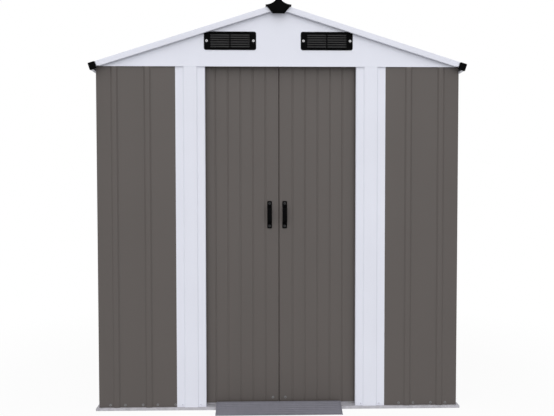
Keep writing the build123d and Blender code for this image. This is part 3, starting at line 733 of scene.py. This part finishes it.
def is_fold(edge, axes, least):
    """True for an edge to round: at an angle between faces of some width, and along one of the axes."""
    if len(edge.link_faces) != 2 or edge.calc_face_angle() < FOLD_ANGLE:
        return False
    line = (edge.verts[1].co - edge.verts[0].co).normalized()
    if axes and max(abs(line.dot(axis)) for axis in axes) < ALONG_COSINE:
        return False
    return min(face_width(face, edge) for face in edge.link_faces) > least


def round_edges(work, edges, width, steps):
    """Round some edges of an editable mesh."""
    bmesh.ops.bevel(
        work,
        geom=edges,
        offset=width,
        offset_type="OFFSET",
        segments=steps,
        profile=0.5,
        affect="EDGES",
        clamp_overlap=True,
        material=-1,
    )


def soften(node, finish, width, axes=(), least=0.0):
    """Piece that takes a node's shape with its folds rounded, or all its edges where no axes are given."""
    work = merged_copy(node)
    round_edges(work, [edge for edge in work.edges if is_fold(edge, axes, least)], width, EDGE_STEPS)
    mesh = bpy.data.meshes.new(f"{node}_finish")
    work.to_mesh(mesh)
    work.free()
    shade(mesh)
    mesh.materials.append(FINISHES[finish])
    piece = new_object(f"{node}_finish", mesh)
    fit(piece, finish, node)
    return piece


def shade(mesh):
    """Smooth faces that turn sharply only at real corners."""
    mesh.polygons.foreach_set("use_smooth", [True] * len(mesh.polygons))
    mesh.set_sharp_from_angle(angle=CREASE_ANGLE)


def round_moulding(mesh):
    """Round the sharp corners of a moulded vent."""
    work = bmesh.new()
    work.from_mesh(mesh)
    corners = [
        edge for edge in work.edges
        if len(edge.link_faces) == 2 and edge.calc_face_angle() > CORNER_ANGLE
    ]
    round_edges(work, corners, sizes().moulded_edge / 2, VENT_EDGE_STEPS)
    work.to_mesh(mesh)
    work.free()
    shade(mesh)


# Places that the pieces share
def wall_face(end):
    """Place of the front or back wall's flat outer face."""
    low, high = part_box(f"{end}_left_corner_panel")
    return low.y + sizes().rib_rise if end == "front" else high.y - sizes().rib_rise


def half_width():
    """Distance of the side walls' flat outer faces from the middle."""
    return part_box("front_right_corner_panel")[1].x - sizes().rib_rise


def half_depth():
    """Half of the distance between the flat outer faces of the front and back walls."""
    return (wall_face("back") - wall_face("front")) / 2


def middle_y():
    """Middle of the side walls."""
    low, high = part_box("left_wall_panel")
    return (low.y + high.y) / 2


def roof_axes(turn):
    """Directions down a roof slope and out of it, on the side that the turn's sign gives."""
    cosine = math.cos(sizes().roof_pitch)
    sine = math.sin(sizes().roof_pitch)
    return Vector((turn * cosine, 0, -sine)), Vector((turn * sine, 0, cosine))


def roof_under(x):
    """Height of the roof sheets' underside at a distance from the middle."""
    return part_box("front_gable")[1].z - x * math.tan(sizes().roof_pitch)


def upright(node):
    """Run of a sheet that stands as high as its node."""
    low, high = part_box(node)
    return Vector((0, 0, high.z - low.z))


def rib_places(first, last, middle, reach, clear=0.0):
    """Rib centres between two places on a wall, by its middle, its half width and a clear middle."""
    size = sizes()
    count = math.floor((reach - size.rib_margin) / size.rib_pitch)
    places = []
    for step in range(-count, count + 1):
        place = middle + step * size.rib_pitch
        inside = first + size.rib_base / 2 < place < last - size.rib_base / 2
        if inside and abs(step * size.rib_pitch) >= clear:
            places.append(place)
    return places


# Pieces of the shed, in the order in which they are made
def roll_wall(node, folds, ribs, lapped=0.0):
    """Roll one wall sheet, its ribs lower by the sheet that it laps over."""
    size = sizes()
    rib = (size.rib_base, size.rib_top, size.rib_rise - lapped)
    roll_sheet(node, folds, ribs, upright(node), rib, "taupe", size.sheet)


def corner_sheet(node, turn_x, turn_y):
    """Roll a sheet that wraps one corner, at the signs of x and y given."""
    low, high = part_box(node)
    face_y = wall_face("front" if turn_y < 0 else "back")
    end_x = high.x if turn_x < 0 else low.x
    end_y = high.y if turn_y < 0 else low.y
    corner = Vector((turn_x * half_width(), face_y, low.z))
    folds = [Vector((end_x, face_y, low.z)), corner, Vector((corner.x, end_y, low.z))]
    clear = sizes().doorway_clear if turn_y < 0 else 0.0
    first_x, last_x = sorted((end_x, corner.x))
    first_y, last_y = sorted((end_y, face_y))
    ribs = [Vector((x, face_y, low.z)) for x in rib_places(first_x, last_x, 0.0, half_width(), clear)]
    for y in rib_places(first_y, last_y, middle_y(), half_depth()):
        ribs.append(Vector((corner.x, y, low.z)))
    if turn_x * turn_y > 0:
        folds.reverse()
    roll_wall(node, folds, ribs)


def side_sheet(node, turn):
    """Roll the middle sheet of a side wall, lapped over the corner sheets."""
    sheet = sizes().sheet
    low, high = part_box(node)
    face_x = turn * (half_width() + sheet)
    folds = [Vector((face_x, y, low.z)) for y in (low.y, high.y)]
    ribs = [Vector((face_x, y, low.z)) for y in rib_places(low.y, high.y, middle_y(), half_depth())]
    if turn < 0:
        folds.reverse()
    roll_wall(node, folds, ribs, lapped=sheet)


def back_sheet(node):
    """Roll the middle sheet of the back wall, lapped over the corner sheets."""
    sheet = sizes().sheet
    low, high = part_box(node)
    face_y = wall_face("back") + sheet
    folds = [Vector((x, face_y, low.z)) for x in (high.x, low.x)]
    ribs = [Vector((x, face_y, low.z)) for x in rib_places(low.x, high.x, 0.0, half_width())]
    roll_wall(node, folds, ribs, lapped=sheet)


class SHED_OT_wall_sheets(bpy.types.Operator):
    """Roll the ribbed corner sheets and middle sheets of the four walls"""

    bl_idname = "shed.wall_sheets"
    bl_label = "Wall Sheets"

    def execute(self, context):
        for node, (turn_x, turn_y) in CORNERS.items():
            corner_sheet(node, turn_x, turn_y)
        for hand, turn in SIDES.items():
            side_sheet(f"{hand}_wall_panel", turn)
        back_sheet("back_wall_panel")
        return {"FINISHED"}


def roof_sheet(node, turn):
    """Roll a roof sheet down its slope, with a raised edge under each fascia and ribs between them."""
    size = sizes()
    low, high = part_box(node)
    slope, normal = roof_axes(turn)
    near = low.x if turn > 0 else -high.x
    far = high.x if turn > 0 else -low.x
    far -= (size.roof_rib_rise + size.sheet) * math.sin(size.roof_pitch)
    start = Vector((turn * near, 0, roof_under(near))) + normal * size.sheet
    crest = normal * size.roof_rib_rise
    flat = Vector((0, 0, 0))
    flank = (size.rib_base - size.rib_top) / 2
    edge = ((0.0, crest), (size.rib_top, crest), (size.rib_top + flank, flat))
    folds = [start + rise + Vector((0, low.y + step, 0)) for step, rise in edge]
    folds += [start + rise + Vector((0, high.y - step, 0)) for step, rise in reversed(edge)]
    inner = rib_places(wall_face("front"), wall_face("back"), middle_y(), half_depth())
    ribs = [start + Vector((0, y, 0)) for y in inner]
    if turn > 0:
        folds.reverse()
    run = slope * ((far - near) / math.cos(size.roof_pitch))
    rib = (size.rib_base, size.rib_top, size.roof_rib_rise)
    roll_sheet(node, folds, ribs, run, rib, "taupe", size.sheet)


class SHED_OT_roof_sheets(bpy.types.Operator):
    """Roll the two roof sheets and round the ridge cap"""

    bl_idname = "shed.roof_sheets"
    bl_label = "Roof Sheets"

    def execute(self, context):
        size = sizes()
        for hand, turn in SIDES.items():
            roof_sheet(f"{hand}_roof_panel", turn)
        soften("ridge_cap", "white", size.sheet / 2, ALONG_Y, size.fold_face)
        return {"FINISHED"}


class SHED_OT_jambs(bpy.types.Operator):
    """Roll the two door jambs with their raised middles and returns"""

    bl_idname = "shed.jambs"
    bl_label = "Door Jambs"

    def execute(self, context):
        size = sizes()
        for hand, turn in SIDES.items():
            node = f"{hand}_door_jamb"
            low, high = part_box(node)
            face_y = wall_face("front") - size.trim_sheet
            inner, outer = (low.x, high.x) if turn > 0 else (high.x, low.x)
            folds = [
                Vector((inner, high.y, low.z)),
                Vector((inner, face_y, low.z)),
                Vector((outer, face_y, low.z)),
            ]
            if turn < 0:
                folds.reverse()
            ribs = [Vector(((low.x + high.x) / 2, face_y, low.z))]
            base = high.x - low.x - 2 * size.jamb_face
            rib = (base, base - 2 * size.jamb_flank, face_y - low.y)
            roll_sheet(node, folds, ribs, upright(node), rib, "white", size.trim_sheet)
        return {"FINISHED"}


class SHED_OT_doors(bpy.types.Operator):
    """Roll the grooved door sheets and finish the rails and glides behind them"""

    bl_idname = "shed.doors"
    bl_label = "Sliding Doors"

    def execute(self, context):
        size = sizes()
        groove = (size.groove_width, 0.0, -size.groove_depth)
        for hand, turn in SIDES.items():
            node = f"{hand}_door_panel"
            low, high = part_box(node)
            meeting = low.x if turn > 0 else high.x
            spare = high.x - low.x - size.groove_first - size.groove_margin
            ribs = []
            for step in range(1 + math.floor(spare / size.groove_pitch)):
                x = meeting + turn * (size.groove_first + step * size.groove_pitch)
                ribs.append(Vector((x, low.y, low.z)))
            folds = [
                Vector((low.x, high.y, low.z)),
                Vector((low.x, low.y, low.z)),
                Vector((high.x, low.y, low.z)),
                Vector((high.x, high.y, low.z)),
            ]
            roll_sheet(node, folds, ribs, upright(node), groove, "taupe", size.sheet)
            soften(f"{hand}_door_rails", "zinc", size.frame_bend, ALONG_X, size.fold_face)
            soften(f"{hand}_door_glides", "nylon", size.moulded_edge / 2)
        return {"FINISHED"}


class SHED_OT_handles(bpy.types.Operator):
    """Round the bow handles of the doors"""

    bl_idname = "shed.handles"
    bl_label = "Door Handles"

    def execute(self, context):
        for hand in SIDES:
            soften(f"{hand}_door_handle", "black", sizes().moulded_edge)
        return {"FINISHED"}


def square_end(mesh, slope):
    """Draw a fascia's eave end out along the slope, so that it ends square to it beside the end cap."""
    far = max(abs(vertex.co.x) for vertex in mesh.vertices)
    ends = [vertex for vertex in mesh.vertices if abs(vertex.co.x) > far - sizes().sheet]
    foot = min(vertex.co.z for vertex in ends)
    for vertex in ends:
        vertex.co -= slope * slope.z * (vertex.co.z - foot)


class SHED_OT_trim(bpy.types.Operator):
    """Fold the gables, fascias and eave trims"""

    bl_idname = "shed.trim"
    bl_label = "Gables and Trim"

    def execute(self, context):
        size = sizes()
        slopes = [roof_axes(turn)[0] for turn in SIDES.values()]
        for end in ENDS:
            soften(f"{end}_gable", "white", size.frame_bend, slopes, size.fold_face)
            for hand, slope in zip(SIDES, slopes):
                fascia = soften(f"{end}_{hand}_fascia", "white", size.frame_bend, slopes, size.fold_face)
                square_end(fascia.data, slope)
        for hand in SIDES:
            soften(f"{hand}_eave_trim", "white", size.frame_bend, ALONG_Y, size.fold_face)
        return {"FINISHED"}


class SHED_OT_mouldings(bpy.types.Operator):
    """Round the moulded ends of the ridge and the eaves"""

    bl_idname = "shed.mouldings"
    bl_label = "Moulded End Caps"

    def execute(self, context):
        for node in ("ridge_end_caps", "eave_end_caps"):
            soften(node, "black", sizes().moulded_edge)
        return {"FINISHED"}


def vent_values(node, turn):
    """Inputs of the vent tree for the two vents of a gable."""
    size = sizes()
    low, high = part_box(node)
    return {
        "Width": 2 * high.x - size.vent_spacing,
        "Height": high.z - low.z,
        "Corner": size.vent_corner,
        "Plate": size.vent_plate,
        "Depth": high.y - low.y,
        "Opening width": size.louvre_width,
        "Opening height": size.louvre_height,
        "Rim": size.louvre_rim,
        "Lip": size.louvre_lip,
        "Post": size.mullion,
        "Slats": size.slat_count,
        "Slat sheet": size.slat_sheet,
        "Slat gap": size.slat_gap,
        "Facing": (math.pi / 2, 0.0, 0.0 if turn < 0 else math.pi),
        "Face": FINISHES["black"],
        # The slats' lighter grey is painted light for their lit upper slopes
        "Slat": FINISHES["slat"],
    }


class SHED_OT_vents(bpy.types.Operator):
    """Mould the louvred vents of both gables"""

    bl_idname = "shed.vents"
    bl_label = "Louvred Vents"

    def execute(self, context):
        tree = vent_tree()
        offset = sizes().vent_spacing / 2
        for end, turn in ENDS.items():
            node = f"{end}_vents"
            low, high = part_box(node)
            face_y = high.y if turn < 0 else low.y
            level = (low.z + high.z) / 2
            places = point_mesh("vent_places", [(side * offset, face_y, level) for side in SIDES.values()])
            made = evaluated(places, tree, vent_values(node, turn))
            round_moulding(made)
            fit(new_object(f"{node}_finish", made), "black", node)
        return {"FINISHED"}


def beside_ribs(middle, reach, clear=0.0):
    """Screw places along a wall: one outward and one inward of each rib."""
    size = sizes()
    places = []
    for place in rib_places(middle - reach, middle + reach, middle, reach, clear):
        away = 1 if place >= middle else -1
        places += [place + away * size.screw_outward, place - away * size.screw_inward]
    return places


def lap(node, place, axis):
    """Thickness of a lapped sheet at a place along the wall, where it lies over the corner sheets."""
    low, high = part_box(node)
    return sizes().sheet if low[axis] < place < high[axis] else 0.0


def wall_screws():
    """Screws along the foot of every wall, and along the top of the walls without a doorway."""
    size = sizes()
    low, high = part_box("front_left_corner_panel")
    foot = low.z + size.screw_edge
    head = high.z - TOP_ROW * size.screw_edge
    spots = []
    beside_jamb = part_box("left_door_jamb")[0].x - JAMB_SIDE_ROW * size.screw_edge
    for x in [*beside_ribs(0.0, half_width(), size.doorway_clear), beside_jamb]:
        spots.append((Vector((x, wall_face("front"), foot)), FORWARD))
    for level in (foot, head):
        for x in beside_ribs(0.0, half_width()):
            face_y = wall_face("back") + lap("back_wall_panel", x, 0)
            spots.append((Vector((x, face_y, level)), BACKWARD))
        for y in beside_ribs(middle_y(), half_depth()):
            for hand, turn in SIDES.items():
                face_x = turn * (half_width() + lap(f"{hand}_wall_panel", y, 1))
                spots.append((Vector((face_x, y, level)), Vector((turn, 0, 0))))
    return spots


def seam_screws():
    """Screws up the lapped edges of the middle sheets."""
    size = sizes()
    spots = []
    low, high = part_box("back_wall_panel")
    count = int((high.z - low.z) / size.screw_step)
    levels = [low.z + size.screw_step * (step + 0.5) for step in range(count)]
    face_y = wall_face("back") + size.sheet
    for level in levels:
        for x in (low.x + size.screw_edge, high.x - size.screw_edge):
            spots.append((Vector((x, face_y, level)), BACKWARD))
        for hand, turn in SIDES.items():
            face_x = turn * (half_width() + size.sheet)
            start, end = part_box(f"{hand}_wall_panel")
            for y in (start.y + size.screw_edge, end.y - size.screw_edge):
                spots.append((Vector((face_x, y, level)), Vector((turn, 0, 0))))
    return spots


def jamb_screws():
    """Screws at the foot of the jambs."""
    size = sizes()
    face_y = wall_face("front") - size.trim_sheet
    spots = []
    for hand in SIDES:
        low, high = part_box(f"{hand}_door_jamb")
        for step in (-size.jamb_screw, size.jamb_screw):
            place = Vector(((low.x + high.x) / 2 + step, face_y, low.z + size.screw_edge))
            spots.append((place, FORWARD))
    return spots


def vent_screws():
    """Screws at both ends of each vent."""
    size = sizes()
    spots = []
    for end, turn in ENDS.items():
        low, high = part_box(f"{end}_vents")
        face_y = (high.y if turn < 0 else low.y) + turn * size.vent_plate
        for side in SIDES.values():
            for step in (-size.vent_screw, size.vent_screw):
                place = Vector((side * size.vent_spacing / 2 + step, face_y, (low.z + high.z) / 2))
                spots.append((place, Vector((0, turn, 0))))
    return spots


def roof_screws():
    """Screws beside the roof ribs, over the purlins and near the eaves."""
    size = sizes()
    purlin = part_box("roof_purlins")[1].x - size.screw_edge
    eave = half_width() - EAVE_ROW * size.screw_edge
    ribs = rib_places(wall_face("front"), wall_face("back"), middle_y(), half_depth())
    spots = []
    for turn in SIDES.values():
        normal = roof_axes(turn)[1]
        for x in (purlin, eave):
            for y in ribs:
                place = Vector((turn * x, y + size.screw_outward, roof_under(x)))
                spots.append((place + normal * size.sheet, normal))
    return spots


def door_screw(hand, turn):
    """Screw at the foot of a door, beside the meeting edge."""
    size = sizes()
    low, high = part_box(f"{hand}_door_panel")
    meeting = low.x if turn > 0 else high.x
    place = Vector((meeting + turn * size.door_screw, low.y, low.z + DOOR_ROW * size.screw_edge))
    return [(place, FORWARD)]


def handle_screws(hand):
    """Screws through the two feet of a handle."""
    size = sizes()
    low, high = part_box(f"{hand}_door_handle")
    levels = (low.z + size.handle_screw, high.z - size.handle_screw)
    middle = (low.x + high.x) / 2
    return [(Vector((middle, high.y - size.handle_sheet, z)), FORWARD) for z in levels]


def set_screws(tree, name, finish, body, spots):
    """Piece with a screw at each spot, a place and a facing, riding on a body."""
    size = sizes()
    mesh = point_mesh("screw_places", [place for place, _ in spots])
    set_vectors(mesh, "facing", [facing for _, facing in spots])
    values = {
        "Head": size.screw_head,
        "Head rise": size.screw_rise,
        "Washer": size.washer,
        "Washer rise": size.washer_rise,
        "Face": FINISHES[finish],
        # Black of the recess bars is painted shade for each screw's hollow
        "Recess shade": FINISHES["black"],
    }
    fit(new_object(name, evaluated(mesh, tree, values)), finish, body=body)


class SHED_OT_screws(bpy.types.Operator):
    """Set the screws of the sheets, jambs, vents, doors and handles"""

    bl_idname = "shed.screws"
    bl_label = "Screws"

    def execute(self, context):
        tree = fixings_tree()
        set_screws(tree, "wall_screws", "screw", "shed", wall_screws() + seam_screws())
        set_screws(tree, "vent_screws", "bright_screw", "shed", vent_screws())
        set_screws(tree, "roof_screws", "screw", "shed", roof_screws())
        set_screws(tree, "jamb_screws", "white", "shed", jamb_screws())
        for hand, turn in SIDES.items():
            body = f"{hand}_door"
            set_screws(tree, f"{hand}_door_screw", "screw", body, door_screw(hand, turn))
            set_screws(tree, f"{hand}_handle_screws", "slat", body, handle_screws(hand))
        return {"FINISHED"}


class SHED_OT_frame_members(bpy.types.Operator):
    """Fold the galvanised base rails, top rails, braces, track and roof members"""

    bl_idname = "shed.frame_members"
    bl_label = "Galvanised Frame"

    def execute(self, context):
        bend = sizes().frame_bend
        members = {
            "front_base_rail": ALONG_X,
            "back_base_rail": ALONG_X,
            "left_base_rail": ALONG_Y,
            "right_base_rail": ALONG_Y,
            "front_sill_angles": ALONG_X,
            "door_track": ALONG_X,
            "left_top_rail": ALONG_Y,
            "right_top_rail": ALONG_Y,
            "back_top_rail": ALONG_X,
            "wall_braces": ALONG_X + ALONG_Y,
            "ridge_beam": ALONG_Y,
            "roof_purlins": ALONG_Y,
        }
        for node, axes in members.items():
            soften(node, "zinc", bend, axes, 2 * bend)
        return {"FINISHED"}


class SHED_OT_ramp(bpy.types.Operator):
    """Round the treaded ramp at the doorway"""

    bl_idname = "shed.ramp"
    bl_label = "Ramp"

    def execute(self, context):
        soften("door_ramp", "ramp", sizes().trim_sheet / 2)
        return {"FINISHED"}


# Floor: its size and the reach of its shadow in metres, its tone, and how white it shows near the shed
FLOOR_RADIUS = 40.0
FLOOR_SIDES = 96
SHADOW_RADIUS = 1.4
FADE_RADIUS = 2.6
FLOOR_TONE = 0.75
FLOOR_ROUGHNESS = 0.9
NEAR_WHITENESS = 0.94

# Brightness with which the white surround lights the shed, where it shows as 1
AMBIENT = 0.5

# Camera: place in metres, turns in degrees, focal length and picture in pixels, sensor in millimetres
CAMERA_PLACE = (-0.0883, -3.8893, 1.1117)
CAMERA_YAW = 1.3860
CAMERA_PITCH = 2.0477
CAMERA_ROLL = -0.0591
FOCAL_PIXELS = 682.8
IMAGE_WIDTH = 554
SENSOR = 36.0

# Broad lamps: the direction they shine from, their strength and their angle across in degrees
LAMPS = {
    "key_lamp": ((-0.40, -1.0, 1.50), 1.02, 56.0),
    "fill_lamp": ((0.45, -1.0, 0.60), 0.28, 60.0),
    "front_lamp": ((0.05, -1.0, 0.18), 0.58, 40.0),
}


def white_to_camera(tree):
    """Factor of 1 for rays that show the background: camera, glossy and transmission rays."""
    path = add(tree, "ShaderNodeLightPath").outputs
    seen = maths(tree, "MAXIMUM", path["Is Camera Ray"], path["Is Glossy Ray"])
    return maths(tree, "MAXIMUM", seen, path["Is Transmission Ray"])


def floor_stage():
    """Pale floor that keeps the shadow near the shed and turns plain white further out."""
    work = bmesh.new()
    bmesh.ops.create_circle(work, cap_ends=True, segments=FLOOR_SIDES, radius=FLOOR_RADIUS)
    mesh = bpy.data.meshes.new("stage_floor")
    work.to_mesh(mesh)
    work.free()
    material, tree, shader, place = new_finish("stage_white")
    shader.inputs["Base Color"].default_value = (FLOOR_TONE, FLOOR_TONE, FLOOR_TONE, 1.0)
    shader.inputs["Roughness"].default_value = FLOOR_ROUGHNESS
    far = add(tree, "ShaderNodeVectorMath", {0: place}, operation="LENGTH").outputs["Value"]
    fade = {
        "Value": far,
        "From Min": SHADOW_RADIUS,
        "From Max": FADE_RADIUS,
        "To Min": NEAR_WHITENESS,
        "To Max": 1.0,
    }
    whiteness = add(tree, "ShaderNodeMapRange", fade).outputs[0]
    across = add(tree, "ShaderNodeSeparateXYZ", {0: place}).outputs
    beyond_side = maths(tree, "GREATER_THAN", maths(tree, "ABSOLUTE", across[0]), half_width())
    deep = maths(tree, "ABSOLUTE", maths(tree, "SUBTRACT", across[1], middle_y()))
    beyond_end = maths(tree, "GREATER_THAN", deep, wall_face("back") - middle_y())
    outside = maths(tree, "MAXIMUM", beyond_side, beyond_end)
    share = maths(tree, "MULTIPLY", maths(tree, "MULTIPLY", whiteness, outside), white_to_camera(tree))
    plain = add(tree, "ShaderNodeEmission", {"Strength": 1.0})
    mixed = add(tree, "ShaderNodeMixShader", {0: share, 1: shader.outputs[0], 2: plain.outputs[0]})
    tree.links.new(mixed.outputs[0], tree.nodes["Material Output"].inputs["Surface"])
    mesh.materials.append(material)
    new_object("stage_floor", mesh)


def studio_light():
    """Soft even light: a white surround and three broad lamps in front, at three heights."""
    world = bpy.data.worlds.new("studio")
    bpy.context.scene.world = world
    world.use_nodes = True
    tree = world.node_tree
    brightness = between(tree, white_to_camera(tree), low=AMBIENT, high=1.0)
    surround = tree.nodes["Background"].inputs
    surround["Color"].default_value = (1.0, 1.0, 1.0, 1.0)
    tree.links.new(brightness, surround["Strength"])
    for name, (source, strength, angle) in LAMPS.items():
        lamp = bpy.data.lights.new(name, "SUN")
        lamp.energy = strength
        lamp.angle = math.radians(angle)
        holder = new_object(name, lamp)
        holder.rotation_euler = Vector(source).to_track_quat("Z", "Y").to_euler()


def photo_camera():
    """Camera in front of the doors, a little above half height."""
    camera = bpy.data.cameras.new("camera")
    camera.sensor_width = SENSOR
    camera.lens = SENSOR * FOCAL_PIXELS / IMAGE_WIDTH
    holder = new_object("camera", camera)
    holder.location = CAMERA_PLACE
    heading = Matrix.Rotation(math.radians(-CAMERA_YAW), 3, "Z")
    tilt = Matrix.Rotation(math.radians(90 - CAMERA_PITCH), 3, "X")
    roll = Matrix.Rotation(math.radians(CAMERA_ROLL), 3, "Z")
    holder.rotation_euler = (heading @ tilt @ roll).to_euler()
    bpy.context.scene.camera = holder


class SHED_OT_stage(bpy.types.Operator):
    """Set the floor, the light and the camera"""

    bl_idname = "shed.stage"
    bl_label = "Stage"

    def execute(self, context):
        floor_stage()
        studio_light()
        photo_camera()
        context.scene.view_settings.view_transform = "Standard"
        return {"FINISHED"}


OPERATORS = (
    SHED_OT_wall_sheets,
    SHED_OT_roof_sheets,
    SHED_OT_jambs,
    SHED_OT_doors,
    SHED_OT_handles,
    SHED_OT_trim,
    SHED_OT_mouldings,
    SHED_OT_vents,
    SHED_OT_screws,
    SHED_OT_frame_members,
    SHED_OT_ramp,
    SHED_OT_stage,
)


class SHED_PT_dressing(bpy.types.Panel):
    """Lists the shed's pieces in the sidebar"""

    bl_idname = "SHED_PT_dressing"
    bl_label = "Storage Shed"
    bl_space_type = "VIEW_3D"
    bl_region_type = "UI"
    bl_category = "Shed"

    def draw(self, context):
        for operator in OPERATORS:
            self.layout.operator(operator.bl_idname)
        for group in (context.scene.shed_sizes, context.scene.shed_colours):
            for name in group.__annotations__:
                self.layout.prop(group, name)


CLASSES = (ShedSizes, ShedColours, *OPERATORS, SHED_PT_dressing)


def register():
    """Add the classes and the scene's sizes and colours."""
    for entry in CLASSES:
        bpy.utils.register_class(entry)
    bpy.types.Scene.shed_sizes = PointerProperty(type=ShedSizes)
    bpy.types.Scene.shed_colours = PointerProperty(type=ShedColours)


def unregister():
    """Take the sizes, colours and classes away again."""
    del bpy.types.Scene.shed_colours
    del bpy.types.Scene.shed_sizes
    for entry in reversed(CLASSES):
        bpy.utils.unregister_class(entry)


def main():
    """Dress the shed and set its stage."""
    register()
    make_finishes()
    bpy.ops.shed.wall_sheets()
    bpy.ops.shed.roof_sheets()
    bpy.ops.shed.jambs()
    bpy.ops.shed.doors()
    bpy.ops.shed.handles()
    bpy.ops.shed.trim()
    bpy.ops.shed.mouldings()
    bpy.ops.shed.vents()
    bpy.ops.shed.screws()
    bpy.ops.shed.frame_members()
    bpy.ops.shed.ramp()
    bpy.ops.shed.stage()


if __name__ == "__main__":
    main()
